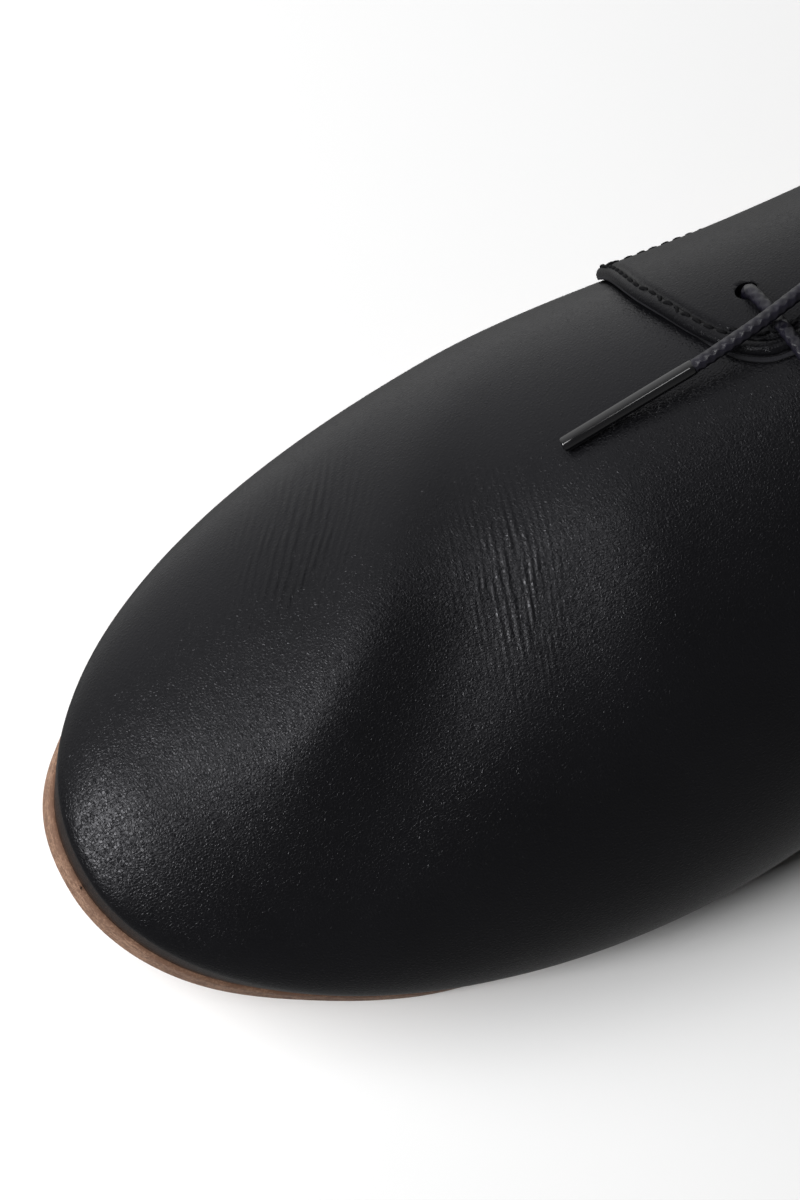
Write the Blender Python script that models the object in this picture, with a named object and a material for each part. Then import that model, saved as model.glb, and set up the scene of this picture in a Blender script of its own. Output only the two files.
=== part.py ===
"""Derby dance shoe for the left foot: sole, heel, insole, upper, quarters, tongue and lace.

X runs from heel to toe, +Y to the wearer's left (the lateral side), +Z up, in metres.
"""
import math

import bmesh
import bpy
from mathutils import Vector

# Overall sizes of the last
LENGTH = 0.280
HEEL_HEIGHT = 0.016
SOLE_THICKNESS = 0.0045
TOE_SPRING = 0.0090
ARCH_START = 0.245
ARCH_END = 0.570
SPRING_START = 0.700
SPRING_POWER = 1.9
MEDIAL = -1
LATERAL = 1
UPWARD = Vector((0.0, 0.0, 1.0))

# Thicknesses and gaps
WALL = 0.0020
GAP = 0.0003
QUARTER = 0.0015
TONGUE = 0.0018
INSOLE = 0.0020
SOLE_LEDGE = 0.0006
HEEL_PITCH = 0.0012
HEEL_BREAST = 0.238

# Half-widths of the widest line, from the heel's widest section to the ball, share of length then metres
MEDIAL_WIDTHS = (
    (0.130, 0.0310),
    (0.270, 0.0295),
    (0.420, 0.0315),
    (0.550, 0.0362),
    (0.702, 0.0415),
)
LATERAL_WIDTHS = (
    (0.130, 0.0310),
    (0.270, 0.0328),
    (0.400, 0.0370),
    (0.520, 0.0451),
    (0.679, 0.0517),
)
TOE_POWER = {MEDIAL: 2.28, LATERAL: 1.905}
HEEL_POWER = 2.2

# One row per section of the last. Columns: share of length, ridge height, ridge shift to the medial
# side, fullness of the curve over the foot, height of the widest line over the sole, and how far the
# lower edge is tucked in on the medial and on the lateral side.
SECTIONS = (
    (0.00, 0.0980, 0.0000, 1.70, 0.0240, 0.0015, 0.0015),
    (0.13, 0.0980, 0.0000, 1.70, 0.0240, 0.0020, 0.0020),
    (0.28, 0.0970, 0.0005, 1.75, 0.0215, 0.0038, 0.0028),
    (0.36, 0.0938, 0.0014, 1.80, 0.0190, 0.0052, 0.0036),
    (0.44, 0.0852, 0.0029, 1.86, 0.0172, 0.0060, 0.0045),
    (0.50, 0.0768, 0.0040, 1.90, 0.0160, 0.0062, 0.0051),
    (0.57, 0.0690, 0.0050, 1.95, 0.0147, 0.0062, 0.0054),
    (0.65, 0.0622, 0.0047, 2.05, 0.0134, 0.0061, 0.0055),
    (0.75, 0.0524, 0.0034, 2.17, 0.0122, 0.0058, 0.0053),
    (0.85, 0.0425, 0.0019, 2.25, 0.0104, 0.0049, 0.0011),
    (0.93, 0.0345, 0.0008, 2.25, 0.0088, 0.0028, 0.0009),
    (0.97, 0.0309, 0.0003, 2.25, 0.0081, 0.0020, 0.0001),
    (1.00, 0.0282, 0.0000, 2.25, 0.0075, -0.0001, -0.0001),
)
FAN_START = 0.700
FAN_RATE = 0.545
SEAT_START = 0.130
SEAT_RATE = 0.30
ROWS = [-1.0, -0.5] + [row / 12 for row in range(13)]

# Throat and collar
THROAT_FRONT = 0.570
FACING_FRONT = 0.598
THROAT_ROUND = 0.0060
THROAT_HALF = 0.0071
THROAT_SPREAD = 0.040
FACING_TOP = 0.440
COLLAR_RISE = 0.340
COLLAR = (
    (0.000, 0.0750),
    (0.060, 0.0725),
    (0.140, 0.0655),
    (0.230, 0.0605),
    (0.310, 0.0630),
    (0.380, 0.0715),
    (0.440, 0.0850),
)

# Quarter overlay. The front edge runs from the tab's lower corner up to the facing, as rise then share of
# length; the lower edge leaves the sole and climbs to the tab, as share of length then height over the sole.
FRONT_EDGE = (
    (0.00, 0.5985),
    (0.25, 0.6045),
    (0.50, 0.6112),
    (0.79, 0.6070),
    (1.00, 0.6060),
)
LOWER_EDGE = (
    (0.400, 0.0000),
    (0.450, 0.0040),
    (0.500, 0.0120),
    (0.550, 0.0180),
    (0.600, 0.0195),
)
FACING_CORNER = 0.0090
FACING_CORNER_START = 0.70
TAB_CORNER = 0.0040
TAB_CORNER_END = 0.12
FRONT_ROWS = (0.0, 0.02, 0.06, 0.12, 0.20, 0.30, 0.40, 0.50, 0.60, 0.70, 0.78, 0.85, 0.91, 0.96, 1.0)
FACING_LIP = 0.0008
BACK_SEAM = 0.000002
LIFT_START = 0.480
LIFT_END = 0.590
EDGE_LIFT = 0.0005
TAB_START = 0.400
QUARTER_STRAIGHT = 0.520

# Tongue
TONGUE_FRONT = 0.650
TONGUE_TOP = 0.405
TONGUE_HALF_FRONT = 0.0170
TONGUE_HALF_TOP = 0.0270

# Lace
LACE_DIAMETER = 0.0023
EYELETS = (0.571, 0.523, 0.475)
EYELET_SETBACK = 0.0095
AGLET_LENGTH = 0.0215
AGLET_DIAMETER = 0.0024
LACE_POINT_STEP = 0.0050

# Middle of the shoe's box, taken off every point
MIDDLE_X = 0.14005
MIDDLE_Y = 0.0051

LEATHER_BLACK = (0.012, 0.012, 0.014, 1.0)
LEATHER_TAN = (0.30, 0.19, 0.12, 1.0)
LINING_GREY = (0.10, 0.09, 0.09, 1.0)
LACE_NAVY = (0.012, 0.012, 0.020, 1.0)


def spline(rows, column=1):
    """Smooth curve through table rows, flat at both ends."""
    places = [row[0] for row in rows]
    values = [row[column] for row in rows]
    count = len(rows)
    low = [0.0] * count
    mid = [1.0] * count
    high = [0.0] * count
    right = [0.0] * count
    for i in range(1, count - 1):
        before = places[i] - places[i - 1]
        after = places[i + 1] - places[i]
        low[i] = after
        mid[i] = 2.0 * (before + after)
        high[i] = before
        rise = (values[i + 1] - values[i]) / after
        fall = (values[i] - values[i - 1]) / before
        right[i] = 3.0 * (after * fall + before * rise)
    for i in range(1, count):
        share = low[i] / mid[i - 1]
        mid[i] -= share * high[i - 1]
        right[i] -= share * right[i - 1]
    slopes = [0.0] * count
    for i in range(count - 1, -1, -1):
        ahead = slopes[i + 1] if i + 1 < count else 0.0
        slopes[i] = (right[i] - high[i] * ahead) / mid[i]

    def value(place):
        place = min(max(place, places[0]), places[-1])
        i = 0
        while i < count - 2 and place > places[i + 1]:
            i += 1
        span = places[i + 1] - places[i]
        t = (place - places[i]) / span
        a = (1 + 2 * t) * (1 - t) ** 2 * values[i]
        b = t * (1 - t) ** 2 * span * slopes[i]
        c = t * t * (3 - 2 * t) * values[i + 1]
        d = t * t * (t - 1) * span * slopes[i + 1]
        return a + b + c + d

    return value


def ease(place, start, end):
    """Smooth step from 0 at start to 1 at end."""
    t = min(max((place - start) / (end - start), 0.0), 1.0)
    return t * t * (3.0 - 2.0 * t)


WIDTH = {MEDIAL: spline(MEDIAL_WIDTHS), LATERAL: spline(LATERAL_WIDTHS)}
BALL = {MEDIAL: MEDIAL_WIDTHS[-1], LATERAL: LATERAL_WIDTHS[-1]}
RIDGE = spline(SECTIONS, 1)
SHIFT = spline(SECTIONS, 2)
FULLNESS = spline(SECTIONS, 3)
WIDEST = spline(SECTIONS, 4)
TUCK = {MEDIAL: spline(SECTIONS, 5), LATERAL: spline(SECTIONS, 6)}
COLLAR_HEIGHT = spline(COLLAR)
EDGE_SHARE = spline(FRONT_EDGE)
EDGE_HEIGHT = spline(LOWER_EDGE)


def half_width(side, share):
    """Half-width of the widest line at a share of the length."""
    ball, width = BALL[side]
    if share > ball:
        t = min((share - ball) / (1.0 - ball), 1.0)
        power = TOE_POWER[side]
        return width * max(1.0 - t ** power, 0.0) ** (1.0 / power)
    if share < SEAT_START:
        t = min((SEAT_START - share) / SEAT_START, 1.0)
        return WIDTH[side](SEAT_START) * max(1.0 - t ** HEEL_POWER, 0.0) ** (1.0 / HEEL_POWER)
    return WIDTH[side](share)


def spine_share(share):
    """Where the section that starts at this share of the outline meets the ridge."""
    if share > FAN_START:
        return FAN_START + FAN_RATE * (share - FAN_START)
    if share < SEAT_START:
        return SEAT_START + SEAT_RATE * (share - SEAT_START)
    return share


def ground(share):
    """Height of the sole's underside."""
    arch = HEEL_HEIGHT * (1.0 - ease(share, ARCH_START, ARCH_END))
    t = max((share - SPRING_START) / (1.0 - SPRING_START), 0.0)
    return arch + TOE_SPRING * t ** SPRING_POWER


def feather(share):
    """Height of the sole's upper side."""
    return ground(share) + SOLE_THICKNESS


def section_ends(side, share):
    """Outline point and ridge point of one section, in plan."""
    outer = Vector((share * LENGTH, side * half_width(side, share), 0.0))
    place = spine_share(share)
    inner = Vector((place * LENGTH, MEDIAL * SHIFT(place), 0.0))
    return outer, inner


def upper_point(side, share, turn):
    """Point on the outside of the upper; turn runs from -1 at the sole through 0 to 1 at the ridge."""
    outer, inner = section_ends(side, share)
    reach = (outer - inner).length
    base = feather(share)
    widest = base + WIDEST(share)
    if turn < 0.0:
        point = inner + (outer - inner) * (1.0 - TUCK[side](share) / reach * turn * turn)
        point.z = widest + WIDEST(share) * turn
        return point
    angle = 0.5 * math.pi * turn
    point = inner + (outer - inner) * max(math.cos(angle), 0.0) ** (2.0 / FULLNESS(share))
    point.z = widest + (RIDGE(point.x / LENGTH) - widest) * math.sin(angle)
    return point


def facing_half(share):
    """Distance of the facing's edge from the ridge."""
    return THROAT_HALF + THROAT_SPREAD * (FACING_FRONT - share) * LENGTH


def throat_half(share, widen):
    """Half-width of the throat; zero ahead of it, with a rounded front end."""
    front = (THROAT_FRONT - share) * LENGTH
    if front <= 0.0:
        return 0.0
    half = facing_half(share) + widen
    if front < THROAT_ROUND:
        half *= math.sqrt(1.0 - (1.0 - front / THROAT_ROUND) ** 2)
    return half


def turn_at_offset(side, share, offset):
    """Turn at which a section is this far from the ridge."""
    outer, inner = section_ends(side, share)
    ratio = min(offset / (outer - inner).length, 1.0)
    return math.acos(ratio ** (FULLNESS(share) / 2.0)) / (0.5 * math.pi)


def turn_at_height(share, height):
    """Turn at which a section reaches this height, above or below its widest line."""
    widest = feather(share) + WIDEST(share)
    if height < widest:
        return (height - widest) / WIDEST(share)
    ridge = RIDGE(spine_share(share))
    return math.asin(min((height - widest) / (ridge - widest), 1.0)) / (0.5 * math.pi)


def last_turn(side, share, widen=0.0):
    """Turn at which the upper ends: at the ridge, the throat or the collar."""
    if share >= THROAT_FRONT:
        return 1.0
    turn = turn_at_offset(side, share, throat_half(share, widen))
    if share < FACING_TOP:
        turn = min(turn, turn_at_height(share, COLLAR_HEIGHT(share)))
    return turn


def column_shares():
    """Shares of the length where the sections stand, close together at toe, heel and throat."""
    seat = [SEAT_START * (1.0 - math.cos(0.5 * math.pi * i / 7)) for i in range(7)]
    waist = [SEAT_START + (COLLAR_RISE - SEAT_START) * i / 5 for i in range(5)]
    climb = [COLLAR_RISE + (FACING_TOP - COLLAR_RISE) * i / 6 for i in range(6)]
    round_start = THROAT_FRONT - THROAT_ROUND / LENGTH
    facing = [FACING_TOP + (round_start - FACING_TOP) * i / 5 for i in range(5)]
    corner = [THROAT_FRONT - THROAT_ROUND / LENGTH * (1.0 - i / 4) ** 2 for i in range(4)]
    vamp = [THROAT_FRONT + (FAN_START - THROAT_FRONT) * i / 4 for i in range(4)]
    toe = [FAN_START + (1.0 - FAN_START) * math.sin(0.5 * math.pi * i / 12) for i in range(13)]
    return seat + waist + climb + facing + corner + vamp + toe


def grid_faces(rows, columns, front_first):
    """Triangles of a grid stored column by column, cut from front and low to back and high.

    The last column stands on the toe's middle line, so its quads are cut the other way.
    """
    faces = []
    for i in range(columns - 1):
        for j in range(rows - 1):
            a = i * rows + j
            b = a + rows
            if front_first or i == columns - 2:
                faces.append((a, b, b + 1))
                faces.append((a, b + 1, a + 1))
            else:
                faces.append((a, b, a + 1))
                faces.append((b, b + 1, a + 1))
    return faces


def sheet_from_grids(grids, outward, front_first=False):
    """One welded open sheet from grids of point columns, turned to face along the outward rule."""
    sheet = bmesh.new()
    for number, columns in enumerate(grids):
        points = [sheet.verts.new(point) for column in columns for point in column]
        for face in grid_faces(len(columns[0]), len(columns), front_first):
            order = face if number == 0 else face[::-1]
            sheet.faces.new([points[i] for i in order])
    bmesh.ops.remove_doubles(sheet, verts=sheet.verts, dist=0.00002)
    sheet.normal_update()
    if sum((vert.normal.dot(outward) for vert in sheet.verts), 0.0) < 0.0:
        bmesh.ops.reverse_faces(sheet, faces=sheet.faces)
        sheet.normal_update()
    return sheet


def material(name, colour, roughness):
    """Plain Principled material."""
    made = bpy.data.materials.new(name)
    made.use_nodes = True
    shader = made.node_tree.nodes["Principled BSDF"]
    shader.inputs["Base Color"].default_value = colour
    shader.inputs["Roughness"].default_value = roughness
    return made


def add_object(name, mesh_builder, skin):
    """Move a bmesh to the shared frame and link it as one object."""
    bmesh.ops.recalc_face_normals(mesh_builder, faces=mesh_builder.faces)
    bmesh.ops.translate(mesh_builder, verts=mesh_builder.verts, vec=(-MIDDLE_X, -MIDDLE_Y, 0.0))
    mesh = bpy.data.meshes.new(name)
    mesh_builder.to_mesh(mesh)
    mesh_builder.free()
    made = bpy.data.objects.new(name, mesh)
    made.data.materials.append(skin)
    bpy.context.scene.collection.objects.link(made)
    return made


def solid_from_sheet(name, sheet, near_side, far_side, skin):
    """Closed solid between two copies of a sheet, each moved by its own rule."""
    sheet.verts.ensure_lookup_table()
    rim = [edge for edge in sheet.edges if edge.is_boundary]
    loops = [[vert.index for vert in face.verts] for face in sheet.faces]
    sides = []
    for edge in rim:
        loop = edge.link_loops[0]
        sides.append((loop.vert.index, loop.link_loop_next.vert.index))
    solid = bmesh.new()
    near = [solid.verts.new(near_side(vert)) for vert in sheet.verts]
    far = [solid.verts.new(far_side(vert)) for vert in sheet.verts]
    for loop in loops:
        solid.faces.new([near[i] for i in loop])
        solid.faces.new([far[i] for i in reversed(loop)])
    for a, b in sides:
        solid.faces.new((near[b], near[a], far[a], far[b]))
    sheet.free()
    return add_object(name, solid, skin)


def along_normal(distance):
    """Rule that moves a vertex along its normal."""
    return lambda vert: vert.co + vert.normal * distance


def level_at_foot(distance, edge_lift=0.0):
    """Rule that moves along the normal, but keeps the lower edge level; the lift grows to the front."""
    def moved(vert):
        share = vert.co.x / LENGTH
        away = distance + edge_lift * ease(share, LIFT_START, LIFT_END)
        if vert.co.z < feather(share) + 3.0 * GAP + 0.0004:
            flat = Vector((vert.normal.x, vert.normal.y, 0.0)).normalized()
            return vert.co + flat * away
        return vert.co + vert.normal * away
    return moved


def row_turn(share, rise, top):
    """Turn of one row of a section: rise runs from -1 at the sole to 1 at the edge."""
    if rise < 0.0:
        return rise * (1.0 - GAP / WIDEST(share))
    return rise * top


def upper_column(side, share):
    """Points of one section from the sole to the upper's edge."""
    top = last_turn(side, share)
    return [upper_point(side, share, row_turn(share, rise, top)) for rise in ROWS]


def build_upper(skin):
    """Hollow shell, open at collar, throat and bottom."""
    grids = []
    for side in (MEDIAL, LATERAL):
        grids.append([upper_column(side, share) for share in column_shares()])
    sheet = sheet_from_grids(grids, UPWARD)
    return solid_from_sheet("upper", sheet, along_normal(0.0), level_at_foot(-WALL), skin)


def front_edge(rise):
    """Share of the length of the quarter's front edge, with a rounded corner at each end."""
    top = max((rise - FACING_CORNER_START) / (1.0 - FACING_CORNER_START), 0.0)
    low = max((TAB_CORNER_END - rise) / TAB_CORNER_END, 0.0)
    drop = FACING_CORNER * (1.0 - math.sqrt(1.0 - top * top))
    drop += TAB_CORNER * (1.0 - math.sqrt(1.0 - low * low))
    return EDGE_SHARE(rise) - drop / LENGTH


def quarter_point(side, share, row):
    """Point of one of the quarter's rows: the upper's own rows at the back, closer ones at the tab."""
    throat_end = THROAT_FRONT - THROAT_ROUND / LENGTH
    top = last_turn(side, min(share, throat_end), -FACING_LIP)
    sole = row_turn(share, ROWS[0], top)
    even = (row_turn(share, ROWS[row], top) - sole) / (top - sole)
    part = even + (FRONT_ROWS[row] - even) * ease(share, TAB_START, QUARTER_STRAIGHT)
    bottom = turn_at_height(share, feather(share) + GAP + EDGE_HEIGHT(share))
    return upper_point(side, share, bottom + (top - bottom) * part)


def build_quarter(name, side, skin):
    """Overlay cut between two offsets of the upper's own surface."""
    edge_steps = 7
    rows = range(len(ROWS))
    columns = []
    for step in range(edge_steps):
        column = []
        for row in rows:
            start = front_edge(FRONT_ROWS[row])
            share = start + (QUARTER_STRAIGHT - start) * step / edge_steps
            column.append(quarter_point(side, share, row))
        columns.append(column)
    straight = [share for share in column_shares() if BACK_SEAM < share < QUARTER_STRAIGHT]
    for share in [QUARTER_STRAIGHT] + straight[::-1] + [BACK_SEAM]:
        columns.append([quarter_point(side, share, row) for row in rows])
    sheet = sheet_from_grids([columns], Vector((0.0, side, 0.0)), True)
    outside = level_at_foot(GAP + QUARTER, EDGE_LIFT)
    inside = level_at_foot(GAP, EDGE_LIFT)
    return solid_from_sheet(name, sheet, outside, inside, skin)


def build_tongue(skin):
    """Strip that follows the inside of the upper under the facings."""
    columns = []
    for i in range(15):
        part = i / 14
        share = TONGUE_FRONT + (TONGUE_TOP - TONGUE_FRONT) * part
        half = TONGUE_HALF_FRONT + (TONGUE_HALF_TOP - TONGUE_HALF_FRONT) * part
        if part > 0.85:
            half -= 0.012 * ((part - 0.85) / 0.15) ** 2
        column = []
        for j in range(-5, 6):
            side = LATERAL if j >= 0 else MEDIAL
            column.append(upper_point(side, share, turn_at_offset(side, share, abs(j) / 5 * half)))
        columns.append(column)
    sheet = sheet_from_grids([columns], UPWARD, True)
    depth = WALL + 2.0 * GAP
    return solid_from_sheet("tongue", sheet, along_normal(-depth), along_normal(-depth - TONGUE), skin)


def plate_sheet(inset, start, end, height):
    """Level sheet inside the last's outline, moved in by an inset and set at a height for each share."""
    shares = [share for share in column_shares() if start <= share <= end]
    if end < 1.0:
        shares.append(end)
    grids = []
    for side in (MEDIAL, LATERAL):
        columns = []
        for share in shares:
            outer, inner = section_ends(side, share)
            edge = 1.0 - inset(side, share) / (outer - inner).length
            column = []
            for part in (1.0, 0.5, 0.0):
                point = inner + (outer - inner) * edge * part
                point.z = height(point.x / LENGTH)
                column.append(point)
            columns.append(column)
        grids.append(columns)
    return sheet_from_grids(grids, UPWARD)


def build_outsole(skin):
    """Leather sole with arch and toe spring."""
    sheet = plate_sheet(lambda side, share: TUCK[side](share) - SOLE_LEDGE, 0.0, 1.0, feather)

    def underside(vert):
        share = vert.co.x / LENGTH
        slope = (feather(share + 0.002) - feather(share - 0.002)) / (0.004 * LENGTH)
        return vert.co - Vector((-slope, 0.0, 1.0)).normalized() * SOLE_THICKNESS

    return solid_from_sheet("outsole", sheet, lambda v: v.co, underside, skin)


def build_insole(skin):
    """Thin plate inside the upper's lower edge."""
    inset = WALL + 2.0 * GAP
    sheet = plate_sheet(lambda side, share: TUCK[side](share) + inset, 0.0, 1.0, feather)
    low = Vector((0.0, 0.0, GAP))
    high = Vector((0.0, 0.0, GAP + INSOLE))
    return solid_from_sheet("insole", sheet, lambda v: v.co + high, lambda v: v.co + low, skin)


def build_heel(skin):
    """Plain heel block, a little smaller at the floor."""
    sheet = plate_sheet(lambda side, share: TUCK[side](share) - SOLE_LEDGE, 0.0, HEEL_BREAST, ground)
    centre = Vector((0.5 * HEEL_BREAST * LENGTH, 0.0, 0.0))
    scale = 1.0 - HEEL_PITCH / 0.031

    def top(vert):
        return vert.co - Vector((0.0, 0.0, GAP))

    def floor(vert):
        moved = centre + (vert.co - centre) * scale
        moved.z = 0.0
        return moved

    return solid_from_sheet("heel", sheet, top, floor, skin)


def on_facing(share, offset, lift):
    """Point over the facings, at a distance from the ridge that is positive to the wearer's left."""
    side = LATERAL if offset >= 0.0 else MEDIAL
    point = upper_point(side, share, turn_at_offset(side, share, abs(offset)))
    ahead = upper_point(side, share + 0.01, turn_at_offset(side, share + 0.01, abs(offset)))
    beside = upper_point(side, share, turn_at_offset(side, share, abs(offset) + 0.002))
    normal = (ahead - point).cross(beside - point)
    if normal.z < 0.0:
        normal = -normal
    return point + normal.normalized() * lift


def tube(name, points, radius, sides, skin):
    """Closed round tube along points."""
    made = bmesh.new()
    rings = []
    for i, point in enumerate(points):
        before = points[max(i - 1, 0)]
        after = points[min(i + 1, len(points) - 1)]
        ahead = (after - before).normalized()
        across = ahead.cross(Vector((1.0, 0.0, 0.2))).normalized()
        up = across.cross(ahead)
        ring = []
        for k in range(sides):
            angle = 2.0 * math.pi * k / sides
            ring.append(made.verts.new(point + (across * math.cos(angle) + up * math.sin(angle)) * radius))
        rings.append(ring)
    for a, b in zip(rings, rings[1:]):
        for k in range(sides):
            n = (k + 1) % sides
            made.faces.new((a[k], a[n], b[n], b[k]))
    made.faces.new(rings[0][::-1])
    made.faces.new(rings[-1])
    return add_object(name, made, skin)


def facing_face(share):
    """Height of the quarter's outer face over the upper."""
    return GAP + QUARTER + EDGE_LIFT * ease(share, LIFT_START, LIFT_END)


def build_lace_bar(number, share, skin):
    """Straight bar over the throat from eyelet to eyelet."""
    half = facing_half(share) + EYELET_SETBACK
    lift = facing_face(share) + GAP + 0.5 * LACE_DIAMETER
    offsets = [half * part / 6.0 for part in range(-6, 7)]
    points = [on_facing(share, offset, lift) for offset in offsets]
    return tube("lace_bar_%d" % number, points, 0.5 * LACE_DIAMETER, 10, skin)


def lace_end_route():
    """Hand-chosen route of the free end: share of length, distance from the ridge, height over the upper."""
    top = EYELETS[-1]
    start = facing_half(top) + EYELET_SETBACK
    on_bar = 2.0 * GAP + 1.5 * LACE_DIAMETER
    return (
        (top + 0.012, -start, facing_face(top) + 2.0 * GAP + 0.5 * LACE_DIAMETER),
        (top + 0.030, -start + 0.0035, facing_face(top) + on_bar - 0.0006),
        (EYELETS[1], -0.0118, facing_face(EYELETS[1]) + on_bar + 0.0003),
        (EYELETS[0], -0.0101, facing_face(EYELETS[0]) + on_bar + 0.0003),
        (0.598, -0.0103, 0.0056),
        (0.6225, -0.0110, 0.0042),
        (0.657, -0.0122, 0.0028),
        (0.692, -0.0132, 0.5 * AGLET_DIAMETER + GAP),
    )


def curve_through(points, step):
    """Points at an even step on a smooth curve through route points."""
    dense = []
    last = len(points) - 1
    for i in range(last):
        before = points[max(i - 1, 0)]
        after = points[min(i + 2, last)]
        a = points[i]
        b = points[i + 1]
        for k in range(24):
            t = k / 24
            start_slope = 0.5 * (b - before)
            end_slope = 0.5 * (after - a)
            dense.append(
                a * (1 + 2 * t) * (1 - t) ** 2 + start_slope * t * (1 - t) ** 2
                + b * t * t * (3 - 2 * t) + end_slope * t * t * (t - 1)
            )
    dense.append(points[-1])
    lengths = [0.0]
    for a, b in zip(dense, dense[1:]):
        lengths.append(lengths[-1] + (b - a).length)
    count = max(int(round(lengths[-1] / step)), 2)
    even = []
    j = 0
    for i in range(count + 1):
        want = lengths[-1] * i / count
        while j < len(dense) - 2 and lengths[j + 1] < want:
            j += 1
        t = (want - lengths[j]) / (lengths[j + 1] - lengths[j])
        even.append(dense[j].lerp(dense[j + 1], min(max(t, 0.0), 1.0)))
    return even


def build_lace_end(lace_skin, aglet_skin):
    """Free cord with its aglet, lying forward on the vamp."""
    route = [on_facing(share, offset, lift) for share, offset, lift in lace_end_route()]
    points = curve_through(route, 0.001)
    left = AGLET_LENGTH
    cut = len(points) - 1
    while left > 0.0:
        left -= (points[cut] - points[cut - 1]).length
        cut -= 1
    cord = curve_through(points[:cut + 1:4] + [points[cut]], LACE_POINT_STEP)
    curve = bpy.data.curves.new("lace_end", "CURVE")
    curve.dimensions = "3D"
    curve.bevel_depth = 0.5 * LACE_DIAMETER
    curve.bevel_resolution = 2
    curve.use_fill_caps = True
    path = curve.splines.new("POLY")
    path.points.add(len(cord) - 1)
    for spot, point in zip(path.points, cord):
        spot.co = (point.x - MIDDLE_X, point.y - MIDDLE_Y, point.z, 1.0)
    made = bpy.data.objects.new("lace_end", curve)
    made.data.materials.append(lace_skin)
    bpy.context.scene.collection.objects.link(made)
    ahead = (points[-1] - points[cut]).normalized()
    start = points[cut] + ahead * GAP
    stops = [start.lerp(points[-1], i / 4) for i in range(5)]
    tube("aglet", stops, 0.5 * AGLET_DIAMETER, 12, aglet_skin)


def main():
    """Clear the scene and build every piece."""
    for old in list(bpy.data.objects):
        bpy.data.objects.remove(old, do_unlink=True)
    black = material("black_leather", LEATHER_BLACK, 0.45)
    tan = material("tan_sole_leather", LEATHER_TAN, 0.75)
    grey = material("grey_lining", LINING_GREY, 0.85)
    navy = material("navy_black_lace", LACE_NAVY, 0.40)
    gloss = material("black_gloss_plastic", LEATHER_BLACK, 0.12)
    build_outsole(tan)
    build_heel(tan)
    build_insole(grey)
    build_upper(black)
    build_quarter("quarter_medial", MEDIAL, black)
    build_quarter("quarter_lateral", LATERAL, black)
    build_tongue(black)
    for number, share in enumerate(EYELETS[:2], 1):
        build_lace_bar(number, share, navy)
    build_lace_end(navy, gloss)


main()
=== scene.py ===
"""Looks of a black leather derby dance shoe for the left foot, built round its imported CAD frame.

X runs from heel to toe, +Y to the wearer's left, which is the lateral side, and +Z up, in metres.
"""
import math

import bmesh
import bpy
import numpy as np
from mathutils import Matrix, Vector
from mathutils.bvhtree import BVHTree


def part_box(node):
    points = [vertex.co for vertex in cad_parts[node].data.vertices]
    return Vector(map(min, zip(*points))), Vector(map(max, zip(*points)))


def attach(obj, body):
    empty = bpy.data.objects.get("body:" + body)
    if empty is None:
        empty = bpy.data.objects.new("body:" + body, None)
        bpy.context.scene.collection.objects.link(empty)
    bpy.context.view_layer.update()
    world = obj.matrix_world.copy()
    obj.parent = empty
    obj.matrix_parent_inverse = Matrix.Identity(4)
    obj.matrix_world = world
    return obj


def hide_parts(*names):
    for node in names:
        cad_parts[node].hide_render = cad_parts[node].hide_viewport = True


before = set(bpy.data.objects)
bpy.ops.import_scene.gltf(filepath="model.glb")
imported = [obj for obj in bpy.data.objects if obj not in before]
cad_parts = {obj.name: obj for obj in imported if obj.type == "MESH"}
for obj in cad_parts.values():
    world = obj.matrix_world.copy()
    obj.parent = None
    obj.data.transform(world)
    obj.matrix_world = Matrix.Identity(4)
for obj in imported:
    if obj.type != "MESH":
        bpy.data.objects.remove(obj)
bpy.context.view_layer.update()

bl_info = {
    "name": "Derby Dance Shoe",
    "version": (1, 0, 0),
    "blender": (4, 5, 0),
    "location": "3D View > Sidebar > Shoe",
    "description": "Builds the looks of a black leather derby dance shoe round its CAD frame",
    "category": "Object",
}

MM = 0.001
MEDIAL = -1
LATERAL = 1
SIDE_NAMES = {MEDIAL: "medial", LATERAL: "lateral"}

# The last, as in the CAD
LAST_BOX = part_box("upper")
LENGTH = LAST_BOX[1].x - LAST_BOX[0].x
HEEL_BACK = LAST_BOX[0].x
MIDDLE_Y = 0.0051
HEEL_HEIGHT = 0.016
SOLE_THICKNESS = 0.0045
TOE_SPRING = 0.0090
ARCH_START = 0.245
ARCH_END = 0.570
SPRING_START = 0.700
SPRING_POWER = 1.9
WALL = 0.0020
GAP = 0.0003
QUARTER = 0.0015
TONGUE = 0.0018
INSOLE = 0.0020
SOLE_LEDGE = 0.0006
HEEL_PITCH = 0.0012
HEEL_BREAST = 0.238

# Half-widths of the widest line, from the heel's widest section to the ball, share of length then metres
MEDIAL_WIDTHS = (
    (0.130, 0.0310),
    (0.270, 0.0295),
    (0.420, 0.0315),
    (0.550, 0.0362),
    (0.702, 0.0415),
)
LATERAL_WIDTHS = (
    (0.130, 0.0310),
    (0.270, 0.0328),
    (0.400, 0.0370),
    (0.520, 0.0451),
    (0.679, 0.0517),
)
TOE_POWER = {MEDIAL: 2.28, LATERAL: 1.905}
HEEL_POWER = 2.2

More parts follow.
